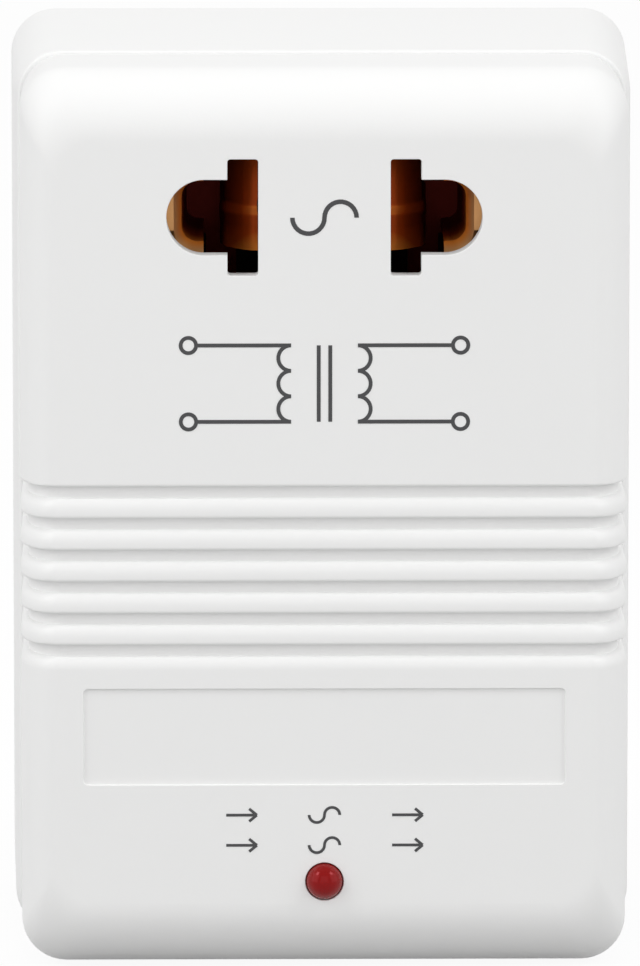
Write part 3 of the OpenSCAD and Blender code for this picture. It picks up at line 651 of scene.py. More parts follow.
# Maker of each finish, its colour or the name of a colour that can be changed, its lowest and highest
# roughness, and the other values of its maker
FINISHES = {
    "white_case": (plastic, "case", 0.42, 0.52, 0.015),
    "nylon": (plastic, (0.70, 0.69, 0.62), 0.50, 0.62),
    "phenolic": (plastic, (0.012, 0.0016, 0.0008), 0.45, 0.60, 0.3, MOULD_GRAIN, DULL),
    "print_ink": (plastic, "ink", 0.45, 0.60, 0.2),
    "red_lamp": (plastic, "lamp", 0.08, 0.16, 0.25, 0.000002, RED_GLASS),
    # Contacts: bronze with painted light and shade that follow depth in the socket
    "contact_bronze": (painted_shade_bronze, "bronze", 0.28, 0.45, "copper", "oxide", "tarnish"),
    "nickel": (metal, "nickel", 0.16, 0.30, 0.15, (1.0, 0.05, 0.6)),
    "tinned_lead": (metal, (0.62, 0.62, 0.60), 0.30, 0.45),
    "screw_steel": (metal, "steel", 0.28, 0.42, 0.25, (1.0, 0.3, 1.0)),
    "core_steel": (
        layered, (0.10, 0.105, 0.115), 0.35, 0.55, (0.03, 0.03, 0.035), ACROSS, 0.0005, 0.00006, 0.7
    ),
    "copper_wire": (
        layered, (0.55, 0.19, 0.06), 0.20, 0.34, (0.20, 0.05, 0.015), UPRIGHT, 0.00035, 0.00012, 0.8
    ),
    "yellow_tape": (layered, (0.72, 0.50, 0.10), 0.25, 0.40, (0.58, 0.38, 0.07), UPRIGHT, 0.006, 0.00002),
    "fish_paper": (plastic, (0.05, 0.12, 0.085), 0.60, 0.80, 0.3, 0.00003),
    "board": (plastic, (0.42, 0.26, 0.09), 0.45, 0.60, 0.25, 0.00002),
    "resistor_body": (plastic, (0.55, 0.40, 0.20), 0.25, 0.40, 0.15),
    "fuse_body": (plastic, (0.26, 0.05, 0.03), 0.30, 0.45, 0.2),
    "red_wire": (plastic, (0.50, 0.02, 0.015), 0.35, 0.50, 0.1),
    "black_wire": (plastic, (0.02, 0.02, 0.022), 0.35, 0.50, 0.2),
    "blue_wire": (plastic, (0.02, 0.08, 0.32), 0.35, 0.50, 0.1),
    "white_wire": (plastic, (0.74, 0.72, 0.64), 0.35, 0.50, 0.1),
}


def named_colour(name):
    """A colour that can be changed, as it is set."""
    return tuple(getattr(bpy.context.scene.converter_colours, name))


def material_named(name):
    """A finish of the converter, built when it is first asked for."""
    full_name = f"{name}_finish"
    if full_name not in bpy.data.materials:
        maker, hue, *values = FINISHES[name]
        maker(full_name, named_colour(hue) if isinstance(hue, str) else hue, *values)
    return bpy.data.materials[full_name]


GROOVES = 6
# Outline of a groove, from its upper edge down, as shares of the pitch and of the depth
GROOVE_EDGE = ((-0.08, 0.0), (-0.03, 0.03), (0.0, 0.12), (0.012, 0.9), (0.03, 1.0))
GROOVE_FLOOR = 0.385
RIB_SHOULDER = 0.42
SHOULDER_STEPS = 6


def rib_profile():
    """Outline of a groove and of the rounded shoulder of the rib under it."""
    turns = [step * pi / 2 / SHOULDER_STEPS for step in range(SHOULDER_STEPS + 1)]
    shoulder = [(GROOVE_FLOOR + RIB_SHOULDER * (1 - cos(turn)), 1 - sin(turn)) for turn in turns]
    return [*GROOVE_EDGE, *shoulder]


def groove_heights(size):
    """Height of the upper edge of each groove."""
    first = size.groove_middle - (GROOVES - 1) * size.groove_pitch / 2 + size.groove_height / 2
    return [first + index * size.groove_pitch for index in range(GROOVES)]


def cut_ribs(shell, size):
    """Cut the shell at each height of the rib outline and draw those loops in."""
    loops = [
        (top - share * size.groove_pitch, depth * size.groove_depth)
        for top in groove_heights(size)
        for share, depth in rib_profile()
    ]
    edit_all(shell)
    for height, _ in loops:
        slice_at((0, 0, height), (0, 0, 1))
    reach = SEAM_Y - FACE_Y
    for height, depth in loops:
        if depth > 0:
            scale = ((HALF_W - depth) / HALF_W, (reach - depth) / reach, 1)
            stretch(shell, 2, height, scale, (0, SEAM_Y, 0))
    leave_edit()


def rounded_block(name, low, high, corner, segments=10):
    """A block with its four edges along Y rounded."""
    return bevel(add_block(name, low, high), along(1), corner, segments)


def inset_block(name, size, inset, start, end):
    """A rounded block that follows the outside of the case at an inset."""
    low, high = (inset - HALF_W, start, inset), (HALF_W - inset, end, TOP_Z - inset)
    return rounded_block(name, low, high, size.corner - inset)


# Roundings of the slots, the panel, the hollow and the rim of the back, and how far an opening is cut
SLOT_ROUND, PANEL_ROUND, HOLLOW_ROUND, BACK_RIM = 0.22, 0.35, 1.0, 0.3
OPENING_DEPTH = 3.0
# Least turn of an edge that counts as a rim
RIM_TURN = 1.2
# Radii of the posts and bores inside the case
PILLAR, BOSS, POST, STAKE = 3.0, 3.4, 2.2, 1.5
THREAD_BORE, SCREW_HOLE, HEAD_GAP = 1.1, 1.3, 0.2
# Places of the lamp board's stakes and of the contact carrier's posts
STAKE_IN, STAKE_Z, CARRIER_POST_RISE = 1.8, 5.4, 3.6
# How far the lamp and its hole stand inside its flange
LAMP_IN, LAMP_HOLE_IN = 0.4, 0.35


def opening_tool(side, socket):
    """Tool for one opening of the socket: a flat slot with a round hole on its outer side."""
    slot_x, hole_x = side * socket.slot_pitch / 2, side * socket.hole_pitch / 2
    start, end = FACE_Y - OVER, FACE_Y + OPENING_DEPTH
    hole = add_rod("hole_tool", hole_x, SOCKET_Z, start, end, socket.hole_diameter / 2, ROUND_SIDES)
    pick(hole, "VERT", lambda vert: side * (vert.co.x - hole_x) < -NEAR)
    bpy.ops.transform.resize(value=(0, 1, 1), center_override=(slot_x, 0, 0))
    leave_edit()
    half_w, half_h = socket.slot_width / 2, socket.slot_height / 2
    low, high = (slot_x - half_w, start, SOCKET_Z - half_h), (slot_x + half_w, end, SOCKET_Z + half_h)
    return fuse(hole, rounded_block("slot_tool", low, high, SLOT_ROUND, 4))


class ConverterFrontShell(bpy.types.Operator):
    """Model the ribbed front shell with its openings, panel and inner posts."""

    bl_idname = "converter.front_shell"
    bl_label = "Front Shell"

    def execute(self, context):
        size = sizes(context.scene.converter_case)
        socket = sizes(context.scene.converter_socket)
        flat_y, inner_y = FACE_Y + size.face_round, FACE_Y + size.wall
        shell = inset_block("front_shell_moulding", size, 0, flat_y, SEAM_Y)
        draw_out(shell, flat_y, FACE_Y, HALF_W, TOP_Z, (size.side_round, size.face_round), 12)
        bevel(shell, at(1, SEAM_Y), size.seam_round)
        cut_ribs(shell, size)
        fuse(shell, inset_block("lip", size, size.wall - size.lip, SEAM_Y - OVER, MEET_Y))
        hollow = inset_block("hollow", size, size.wall, inner_y, MEET_Y + OVER)
        cut(shell, bevel(hollow, at(1, inner_y), HOLLOW_ROUND, 4))
        self.add_posts(shell, inner_y - FUSE)
        for side in SIDES:
            cut(shell, opening_tool(side, socket))
        front, lamp_radius = FACE_Y - OVER, LAMP_HIGH.x - LAMP_HOLE_IN
        cut(shell, add_rod("lamp_hole", 0, LAMP_Z, front, inner_y + OVER, lamp_radius, ROUND_SIDES))
        half_w, half_h = size.panel_width / 2, size.panel_height / 2
        low = (-half_w, front, size.panel_middle - half_h)
        high = (half_w, FACE_Y + size.panel_depth, size.panel_middle + half_h)
        cut(shell, rounded_block("recess", low, high, PANEL_ROUND, 4))
        self.round_rims(shell, size)
        finish(shell, "white_case", "case", ["front_shell"])
        return {"FINISHED"}

    def add_posts(self, shell, start):
        """Posts for the case screws, the core, the contact carrier and the lamp board."""
        for side in SIDES:
            x = side * SCREW_X
            for z in SCREW_ZS:
                fuse(shell, add_rod("pillar", x, z, start, MEET_Y, PILLAR))
                cut(shell, add_rod("bore", x, z, SCREWS_LOW.y, MEET_Y + OVER, THREAD_BORE))
            for z in CORE_POST_ZS:
                fuse(shell, add_rod("post", side * CORE_POST_X, z, start, CORE_LOW.y, POST))
            x = side * (BOARD_HIGH.x - STAKE_IN)
            fuse(shell, add_rod("stake", x, STAKE_Z, start, BOARD_LOW.y, STAKE))
        for z in (SOCKET_Z - CARRIER_POST_RISE, SOCKET_Z + CARRIER_POST_RISE):
            fuse(shell, add_rod("post", 0, z, start, CONTACT_HIGH.y, POST))

    def round_rims(self, shell, size):
        """Round the rims of the openings, the lamp hole and the panel."""
        grooves = groove_heights(size)
        low, high = grooves[0] - size.groove_pitch, grooves[-1] + size.groove_pitch

        def on_rim(edge):
            heights = [vert.co.z for vert in edge.verts]
            beside_grooves = max(heights) < low or min(heights) > high
            return at(1, FACE_Y)(edge) and sharp(edge, RIM_TURN) and beside_grooves

        bevel(shell, on_rim, size.rim_round)


# Length of the axles' ends in the pocket walls, reach of a pocket round its axle, and gaps beside the plugs
EAR = 2.0
POCKET_SWEEP = 4.72
POCKET_FLOOR = 0.4
AXLE_GAP = 0.05
LEAF_RUN = 6.4
LEAF_SEAT = 0.25
LIP_GAP = 0.1
BLADE_SLOT_HALF = 1.2
CHANNEL_FLAT = 0.05
# Ledge under the core
LEDGE_HALF, LEDGE_LENGTH = 1.0, 7.0
# Windows of the leaf contacts: half width, half height, and reach in front of the axle
WINDOW_HALF, WINDOW_RISE, WINDOW_FAR, WINDOW_NEAR = 1.9, 3.2, 8.0, 3.0
# Finger grips: rounding of the floor, and distance from the end of the channels
GRIP_ROUND, GRIP_IN = 1.6, 1.0


class ConverterRearCasing(bpy.types.Operator):
    """Model the flared rear casing with the pockets of both plugs."""

    bl_idname = "converter.rear_casing"
    bl_label = "Rear Casing"

    def execute(self, context):
        size = sizes(context.scene.converter_case)
        plug = sizes(context.scene.converter_plugs)
        casing = self.outer_form(size)
        cut(casing, inset_block("hollow", size, size.wall, SEAM_Y - OVER, BACK_Y - size.wall))
        self.add_inner_blocks(casing, size, plug)
        cut(casing, inset_block("rabbet", size, size.wall - size.lip - LIP_GAP, SEAM_Y - OVER, MEET_Y))
        self.cut_round_pocket(casing, plug)
        self.cut_blade_pocket(casing, plug)
        self.cut_screw_holes(casing)
        bevel(casing, lambda edge: at(1, BACK_Y)(edge) and sharp(edge, RIM_TURN), BACK_RIM)
        finish(casing, "white_case", "case", ["rear_casing"])
        return {"FINISHED"}

    def outer_form(self, size):
        """Outer form: flat underneath, flared on top, widened by a shoulder, rounded at the back."""
        rim_y, shoulder_y = BACK_Y - size.back_round, SEAM_Y + size.shoulder
        half, top = HALF_W + size.seam_step, TOP_Z + size.seam_step
        back_half, back_top = CASING_HIGH.x, CASING_HIGH.z
        low, high = (-half, SEAM_Y, 0), (half, rim_y, top)
        casing = rounded_block("rear_casing_moulding", low, high, size.corner)
        stretch(casing, 1, rim_y, (back_half / half, 1, back_top / top), (0, rim_y, 0))
        even_half = half + (back_half - half) * size.shoulder / (rim_y - SEAM_Y)
        slice_at((0, shoulder_y, 0), (0, 1, 0))
        widening = (back_half - size.shoulder_in) / even_half
        stretch(casing, 1, shoulder_y, (widening, 1, 1), (0, shoulder_y, 0))
        draw_out(casing, rim_y, BACK_Y, back_half, back_top, (size.back_round, size.back_round), 6)
        return bevel(casing, at(1, SEAM_Y), size.seam_round)

    def add_inner_blocks(self, casing, size, plug):
        """Blocks that the pockets are sunk into, bosses for the screws and posts for the core."""
        wall = plug.pocket_wall
        floor_y = box_mm("round_pin_leaf_right")[1].y - wall + LEAF_SEAT
        deep_y = BACK_Y - size.wall + FUSE
        sweep = POCKET_SWEEP + wall
        for half, low, high in (
            (ROUND_HIGH.x + EAR + plug.pocket_gap, ROUND_AXLE.z - sweep - LEAF_RUN, ROUND_AXLE.z + sweep),
            (PIN_X + plug.pin / 2 + plug.channel_gap + wall, PIN_END_Z - wall, ROUND_AXLE.z),
            (FLAT_HIGH.x + EAR + plug.pocket_gap, BLADE_AXLE.z - sweep, BLADE_AXLE.z + sweep),
            (BLADE_X + BLADE_SLOT_HALF + wall, BLADE_AXLE.z, BLADE_END_Z + wall),
        ):
            fuse(casing, add_block("pocket_block", (-half, floor_y, low), (half, deep_y, high)))
        for side in SIDES:
            for z in SCREW_ZS:
                fuse(casing, add_rod("boss", side * SCREW_X, z, MEET_Y, deep_y, BOSS))
            x = side * CORE_POST_X
            for z in CORE_POST_ZS:
                fuse(casing, add_rod("post", x, z, CORE_HIGH.y, deep_y, POST))
            low = (x - LEDGE_HALF, CORE_HIGH.y - LEDGE_LENGTH, size.wall - FUSE)
            fuse(casing, add_block("ledge", low, (x + LEDGE_HALF, CORE_HIGH.y, CORE_FOOT)))

    def cut_pocket(self, casing, plug, axle, half):
        """Space that a carriage turns in, with the bores of its axles."""
        reach, floor_y = half + plug.pocket_gap, axle.y - plug.barrel - POCKET_FLOOR
        low = (-reach, floor_y, axle.z - POCKET_SWEEP)
        cut(casing, add_block("pocket", low, (reach, BACK_Y + OVER, axle.z + POCKET_SWEEP)))
        reach = reach + EAR + OVER
        start, end = (-reach, axle.y, axle.z), (reach, axle.y, axle.z)
        cut(casing, add_bar("bore", start, end, plug.axle / 2 + AXLE_GAP))
        return floor_y

    def cut_leaf_windows(self, casing, place, axle):
        """Windows for the leaf contacts in the floor of a pocket."""
        for side in SIDES:
            x = side * place
            low = (x - WINDOW_HALF, axle.y - WINDOW_FAR, axle.z - WINDOW_RISE)
            high = (x + WINDOW_HALF, axle.y - WINDOW_NEAR, axle.z + WINDOW_RISE)
            cut(casing, add_block("window", low, high))

    def cut_grip(self, casing, half, low, plug):
        """Finger grip with a rounded floor."""
        floor_y = BACK_Y - plug.grip_depth
        high = (half, BACK_Y + OVER, low + plug.grip_height)
        grip = add_block("grip", (-half, floor_y, low), high)
        cut(casing, bevel(grip, lambda edge: at(1, floor_y)(edge) and along(0)(edge), GRIP_ROUND, 6))

    def cut_round_pocket(self, casing, plug):
        """Pocket of the round pins, with a half-round channel for each."""
        self.cut_pocket(casing, plug, ROUND_AXLE, ROUND_HIGH.x)
        radius = plug.pin / 2 + plug.channel_gap
        floor_y = ROUND_AXLE.y - radius
        for side in SIDES:
            x = side * PIN_X
            low, high = (x - radius, floor_y, PIN_END_Z), (x + radius, BACK_Y + OVER, ROUND_AXLE.z)
            channel = add_block("channel", low, high)
            bevel(channel, lambda edge: at(1, floor_y)(edge) and along(2)(edge), radius - CHANNEL_FLAT, 8)
            cut(casing, channel)
        self.cut_leaf_windows(casing, PIN_X, ROUND_AXLE)
        self.cut_grip(casing, PIN_X, PIN_END_Z + GRIP_IN, plug)

    def cut_blade_pocket(self, casing, plug):
        """Pocket of the flat blades, with a slot for each."""
        floor_y = self.cut_pocket(casing, plug, BLADE_AXLE, FLAT_HIGH.x)
        for side in SIDES:
            x = side * BLADE_X
            low = (x - BLADE_SLOT_HALF, floor_y, BLADE_AXLE.z)
            cut(casing, add_block("slot", low, (x + BLADE_SLOT_HALF, BACK_Y + OVER, BLADE_END_Z)))
        self.cut_leaf_windows(casing, BLADE_X, BLADE_AXLE)
        self.cut_grip(casing, BLADE_X, BLADE_END_Z - GRIP_IN - plug.grip_height, plug)

    def cut_screw_holes(self, casing):
        """Through holes of the case screws, with deep counterbores."""
        head = SCREW_HEAD / 2 + HEAD_GAP
        for side in SIDES:
            x = side * SCREW_X
            for z in SCREW_ZS:
                cut(casing, add_rod("hole", x, z, MEET_Y - OVER, SCREW_SEAT_Y + OVER, SCREW_HOLE))
                cut(casing, add_rod("counterbore", x, z, SCREW_SEAT_Y, BACK_Y + OVER, head))


# Rounding of the dome as a share of its radius, and height of the flange
DOME_SHARE, FLANGE_H = 0.97, 1.0


class ConverterLamp(bpy.types.Operator):
    """Model the domed lamp with its flange."""

    bl_idname = "converter.lamp"
    bl_label = "Indicator Lamp"

    def execute(self, context):
        flange, back = LAMP_HIGH.x, LAMP_HIGH.y
        radius = flange - LAMP_IN
        lamp = add_rod("indicator_lamp_dome", 0, LAMP_Z, LAMP_LOW.y, back, radius, ROUND_SIDES)
        bevel(lamp, at(1, LAMP_LOW.y), radius * DOME_SHARE, 14)
        fuse(lamp, add_rod("flange", 0, LAMP_Z, back - FLANGE_H, back, flange, ROUND_SIDES))
        finish(lamp, "red_lamp", "case", ["indicator_lamp"], SMOOTH_ROUND)
        return {"FINISHED"}


# Course of the bowed leaf behind the right-hand slot, from its front edge to the web
LEAF_POINTS = ((5.1, -16.3), (5.85, -16.0), (6.5, -15.2), (7.6, -13.4), (7.9, -11.0), (7.9, -5.3))
LEAF_BEND = 0.5
# Pressed ridge of the leaf: its lean, its crest, the heights of its edges and how far it is pressed
RIDGE_LEAN, RIDGE_Y, RIDGE_RISE = (0, 0.15, 1), -14.0, 0.05
RIDGE_EDGES, RIDGE_TOP, RIDGE_PRESS = (-0.5, -0.3, 0.3, 0.5), 0.31, (0.06, -0.05, 0)
# Cradle: its sides, half height, rounding, end before the web, throat behind the mouth, tapers and lip
CRADLE_X, CRADLE_HALF, CRADLE_ROUND = (9.4, 11.85), 3.35, 1.9
CRADLE_END, CRADLE_THROAT = 0.3, 0.7
THROAT_TAPER, END_TAPER, CRADLE_LIP = (0.78, 1, 0.76), (0.62, 1, 0.6), (0.85, -0.05, 0)
# Web that joins cradle and leaf, and its tail
WEB_X, WEB_HALF, WEB_THICK, TAIL_X = (5.2, 12.0), 3.0, 0.5, (6.8, 9.2)


class ConverterContacts(bpy.types.Operator):
    """Model the two pressed contacts behind the socket's openings."""

    bl_idname = "converter.contacts"
    bl_label = "Socket Contacts"

    def execute(self, context):
        strip = sizes(context.scene.converter_socket).strip
        contact = fuse(self.cradle(strip), self.leaf(strip))
        back = CONTACT_HIGH.y
        for (near, far), low, high in (
            (WEB_X, SOCKET_Z - WEB_HALF, SOCKET_Z + WEB_HALF),
            (TAIL_X, CONTACT_LOW.z, SOCKET_Z),
        ):
            fuse(contact, add_block("web", (near, back - WEB_THICK, low), (far, back, high)))
        finish_pair(contact, "contact_bronze", "case", "socket_contact")
        return {"FINISHED"}

    def cradle(self, strip):
        """Tapered spring that grips a round pin, with a bent lip at its mouth."""
        mouth, back = CONTACT_LOW.y, CONTACT_HIGH.y - CRADLE_END
        throat = mouth + CRADLE_THROAT
        inner_x, outer_x = CRADLE_X
        low, high = (inner_x, mouth, SOCKET_Z - CRADLE_HALF), (outer_x, back, SOCKET_Z + CRADLE_HALF)
        cradle = add_block("socket_contact_spring_right", low, high)
        bevel(cradle, lambda edge: along(1)(edge) and at(0, outer_x)(edge), CRADLE_ROUND, 10)
        pick(cradle, "FACE", lambda face: at(1, mouth)(face) or at(1, back)(face) or at(0, inner_x)(face))
        bpy.ops.mesh.delete(type="FACE")
        slice_at((0, throat, 0), (0, 1, 0))
        for depth, taper in ((throat, THROAT_TAPER), (back, END_TAPER)):
            stretch(cradle, 1, depth, taper, (inner_x, depth, SOCKET_Z))
        pick(cradle, "EDGE", lambda edge: at(1, mouth)(edge) and at(0, outer_x)(edge))
        bpy.ops.mesh.extrude_region_move(TRANSFORM_OT_translate={"value": CRADLE_LIP})
        return thicken(cradle, strip)

    def leaf(self, strip):
        """Bowed leaf that a blade pushes aside, with a pressed ridge along its middle."""
        leaf = add_strip("leaf", LEAF_POINTS, SOCKET_Z + LEAF_LOW, SOCKET_Z + LEAF_HIGH)
        bevel(leaf, lambda edge: along(2)(edge) and len(edge.link_faces) == 2, LEAF_BEND, 4)
        edit_all(leaf)
        across = Vector(RIDGE_LEAN).normalized()
        crest = Vector((0, RIDGE_Y, SOCKET_Z + RIDGE_RISE))
        for height in RIDGE_EDGES:
            slice_at(crest + across * height, across)
        pick(leaf, "VERT", lambda vert: abs((vert.co - crest).dot(across)) < RIDGE_TOP)
        bpy.ops.transform.translate(value=RIDGE_PRESS)
        return thicken(leaf, strip)


def add_strip(name, points, low_z, high_z):
    """An upright sheet along a course of points in X and Y."""
    deselect()
    bpy.ops.mesh.primitive_plane_add(size=1.0, rotation=(pi / 2, 0, 0))
    strip = settle(bpy.context.object)
    strip.name = name
    pick(strip, "VERT", lambda vert: vert.co.x > 0)
    bpy.ops.mesh.delete(type="VERT")
    bpy.ops.mesh.select_all(action="SELECT")
    bpy.ops.transform.resize(value=(1, 1, high_z - low_z))
    x, y = points[0]
    bpy.ops.transform.translate(value=(x + 0.5, y, (low_z + high_z) / 2))
    for here, there in zip(points, points[1:]):
        step = (there[0] - here[0], there[1] - here[1], 0)
        bpy.ops.mesh.extrude_region_move(TRANSFORM_OT_translate={"value": step})
    leave_edit()
    return strip


def thicken(sheet, thickness):
    """Give a sheet its thickness, and close it."""
    face_outwards(sheet)
    modifier = sheet.modifiers.new("Thickness", "SOLIDIFY")
    modifier.thickness = thickness
    modifier.offset = 0.0
    bpy.ops.object.modifier_apply(modifier=modifier.name)
    face_outwards(sheet)
    return sheet


# Rounding of a block's front edges, how far from the axle they lie, and how deep its holes go behind it
BLOCK_ROUND, BLOCK_EDGE, HOLE_BEHIND = 0.35, 2.5, 5
TAIL_GAP = 0.02


def add_carriage(name, plug, axle, low, high):
    """Barrel of a folding plug, with the block that its pins or blades stand in."""
    half = high[0]
    start, end = (-half, axle.y, axle.z), (half, axle.y, axle.z)
    carriage = add_bar(name, start, end, plug.barrel, ROUND_SIDES)
    fuse(carriage, add_block("block", low, high))
    pick(carriage, "FACE", lambda face: at(0, half)(face) or at(0, -half)(face))
    bpy.ops.mesh.dissolve_faces()
    leave_edit()
    return carriage


def round_block(carriage, front, place, side, middle_at):
    """Round the front edges of a carriage's block."""

    def on_edge(edge):
        return at(front, place)(edge) and abs(edge.verts[0].co[side] - middle_at) > BLOCK_EDGE

    bevel(carriage, on_edge, BLOCK_ROUND)


class ConverterRoundPlug(bpy.types.Operator):
    """Model the folding plug of two round pins."""

    bl_idname = "converter.round_plug"
    bl_label = "Round Pin Plug"

    def execute(self, context):
        plug = sizes(context.scene.converter_plugs)
        axle, half, face_y = ROUND_AXLE, ROUND_HIGH.x, ROUND_HIGH.y
        low, high = (-half, axle.y, axle.z - plug.block), (half, face_y, axle.z + plug.block)
        carriage = add_carriage("round_pin_holder", plug, axle, low, high)
        behind, front = axle.y - HOLE_BEHIND, face_y + OVER
        for side in SIDES:
            cut(carriage, add_rod("hole", side * PIN_X, axle.z, behind, front, plug.tail / 2))
        round_block(carriage, 1, face_y, 2, axle.z)
        finish(carriage, "white_case", "round_plug", ["round_pin_carriage"])
        pin = add_rod("round_pin_bar_right", PIN_X, axle.z, face_y, PIN_HIGH.y, plug.pin / 2, ROUND_SIDES)
        bevel(pin, at(1, PIN_HIGH.y), plug.pin / 4, 8)
        fuse(pin, add_rod("tail", PIN_X, axle.z, PIN_LOW.y, face_y + FUSE, plug.tail / 2 - TAIL_GAP))
        finish_pair(pin, "nickel", "round_plug", "round_pin", SMOOTH_ROUND)
        return {"FINISHED"}


# Half widths of a blade and of its tang, the gap round the tang and the blade's start past its block
BLADE_HALF, TANG, TANG_GAP, BLADE_START = 3.175, 1.5, 0.01, 0.3
# Chamfer and edge rounding of a blade, and the place and radius of its hole
TIP_CHAMFER, BLADE_ROUND, BLADE_HOLE_IN, BLADE_HOLE = 1.6, 0.12, 4.4, 1.6


class ConverterBladePlug(bpy.types.Operator):
    """Model the folding plug of two flat blades, folded up along the back."""

    bl_idname = "converter.blade_plug"
    bl_label = "Flat Blade Plug"

    def execute(self, context):
        plug = sizes(context.scene.converter_plugs)
        axle, half, top_z = BLADE_AXLE, FLAT_HIGH.x, FLAT_HIGH.z
        low, high = (-half, axle.y - plug.block, axle.z), (half, axle.y + plug.block, top_z)
        carriage = add_carriage("blade_holder", plug, axle, low, high)
        thick = plug.blade_thickness / 2
        for side in SIDES:
            x = side * BLADE_X
            low = (x - thick, axle.y - TANG, axle.z - HOLE_BEHIND)
            cut(carriage, add_block("slot", low, (x + thick, axle.y + TANG, top_z + OVER)))
        round_block(carriage, 2, top_z, 1, axle.y)
        finish(carriage, "white_case", "blade_plug", ["blade_carriage"])
        finish_pair(self.blade(axle.y, thick, top_z + BLADE_START), "nickel", "blade_plug", "blade")
        return {"FINISHED"}

    def blade(self, y, thick, start):
        """Flat blade with a chamfered tip, a hole near it and a narrow tang."""
        tip_z = BLADE_HIGH.z
        low, high = (BLADE_X - thick, y - BLADE_HALF, start), (BLADE_X + thick, y + BLADE_HALF, tip_z)
        blade = add_block("blade_bar_right", low, high)
        bevel(blade, lambda edge: at(2, tip_z)(edge) and along(0)(edge), TIP_CHAMFER, 1)
        bevel(blade, lambda edge: sharp(edge) and not at(2, start)(edge), BLADE_ROUND, 2)
        hole_z = tip_z - BLADE_HOLE_IN
        cut(blade, add_bar("hole", (BLADE_X - OVER, y, hole_z), (BLADE_X + OVER, y, hole_z), BLADE_HOLE))
        low = (BLADE_X - thick + TANG_GAP, y - TANG + TANG_GAP, BLADE_LOW.z)
        high = (BLADE_X + thick - TANG_GAP, y + TANG - TANG_GAP, start + FUSE)
        return fuse(blade, add_block("tang", low, high))


# Rounding of a screw's head, half sizes and depth of its cross recess, and radius of its shank
HEAD_ROUND, CROSS, CROSS_DEPTH, SHANK = 0.7, (1.3, 0.28), 0.8, 1.08


class ConverterScrews(bpy.types.Operator):
    """Model one case screw and copy it to its four places."""

    bl_idname = "converter.screws"
    bl_label = "Case Screws"

    def execute(self, context):
        top_y = SCREWS_HIGH.y
        screw = add_rod("case_screw_set", 0, 0, SCREW_SEAT_Y, top_y, SCREW_HEAD / 2)
        bevel(screw, at(1, top_y), HEAD_ROUND, 5)
        for x, z in (CROSS, CROSS[::-1]):
            cut(screw, add_block("recess", (-x, top_y - CROSS_DEPTH, -z), (x, top_y + OVER, z)))
        fuse(screw, add_rod("shank", 0, 0, SCREWS_LOW.y, SCREW_SEAT_Y + FUSE, SHANK, 32))
        copies = []
        for side in SIDES:
            for z in SCREW_ZS:
                copy = duplicated(screw)
                copy.location = (side * SCREW_X, 0, z)
                copies.append(settle(copy))
        bpy.data.objects.remove(screw)
        group = joined("case_screw_set", copies)
        finish(group, "screw_steel", "case", ["case_screws"], SMOOTH_ROUND)
        return {"FINISHED"}


# Half thickness of the ink, and the small steps that keep crossing strokes apart
INK = 0.02
INK_STEP, INK_LAYERS = 0.002, 5
INK_FINE, INK_LINE, INK_BOLD = 0.22, 0.3, 0.36
# Degrees of an arc that one straight part of it covers
ARC_STEP = 12
# Coil pair: its height on the face, bumps and their radius, core lines, coils, ends of the leads and rings
COIL_Z, BUMPS, BUMP = 46.5, 3, 1.0
CORE_LINE_X, COIL_X, LEAD_X, RING = 0.45, 2.6, 10.0, 0.6
# Rows of arrows and waves, and the radii of the waves
ROW_ZS, ARROW_X, ARROW_REACH, ARROW_BARB = (12.4, 10.0), 6.5, 1.2, (0.6, 0.5)
SOCKET_WAVE, ROW_WAVE = 1.25, 0.6


def ink_bar(start, end, width=INK_LINE):
    """Printed straight line between two points of the face."""
    start, end = Vector((start[0], 0, start[1])), Vector((end[0], 0, end[1]))
    run = end - start
    reach = run.length / 2
    bar = add_block("ink", (-reach, FACE_Y - INK, -width / 2), (reach, FACE_Y + INK, width / 2))
    bar.rotation_euler.y = -atan2(run.z, run.x)
    bar.location = (start + end) / 2
    return settle(bar)


def ink_arc(centre, radius, first, sweep, width=INK_LINE):
    """Printed arc about a point of the face, from one angle on by a sweep, in degrees."""
    deselect()
    bpy.ops.mesh.primitive_plane_add(size=1.0, location=(radius, FACE_Y, 0))
    arc = bpy.context.object
    arc.scale = (width, 2 * INK, 1)
    edit_all(settle(arc))
    bpy.ops.mesh.delete(type="ONLY_FACE")
    bpy.ops.mesh.select_all(action="SELECT")
    steps = max(4, round(sweep / ARC_STEP))
    bpy.ops.mesh.spin(steps=steps, angle=-radians(sweep), center=(0, 0, 0), axis=(0, 1, 0))
    bpy.ops.mesh.select_all(action="SELECT")
    bpy.ops.mesh.remove_doubles(threshold=WELD)
    bpy.ops.mesh.fill_holes(sides=4)
    face_outwards(arc)
    arc.rotation_euler.y = -radians(first)
    arc.location = (centre[0], 0, centre[1])
    return settle(arc)


def ink_wave(centre, radius, width):
    """Printed sign for alternating current."""
    x, z = centre
    halves = ((x - radius, 0), (x + radius, 180))
    return [ink_arc((middle_x, z), radius, first, 180, width) for middle_x, first in halves]


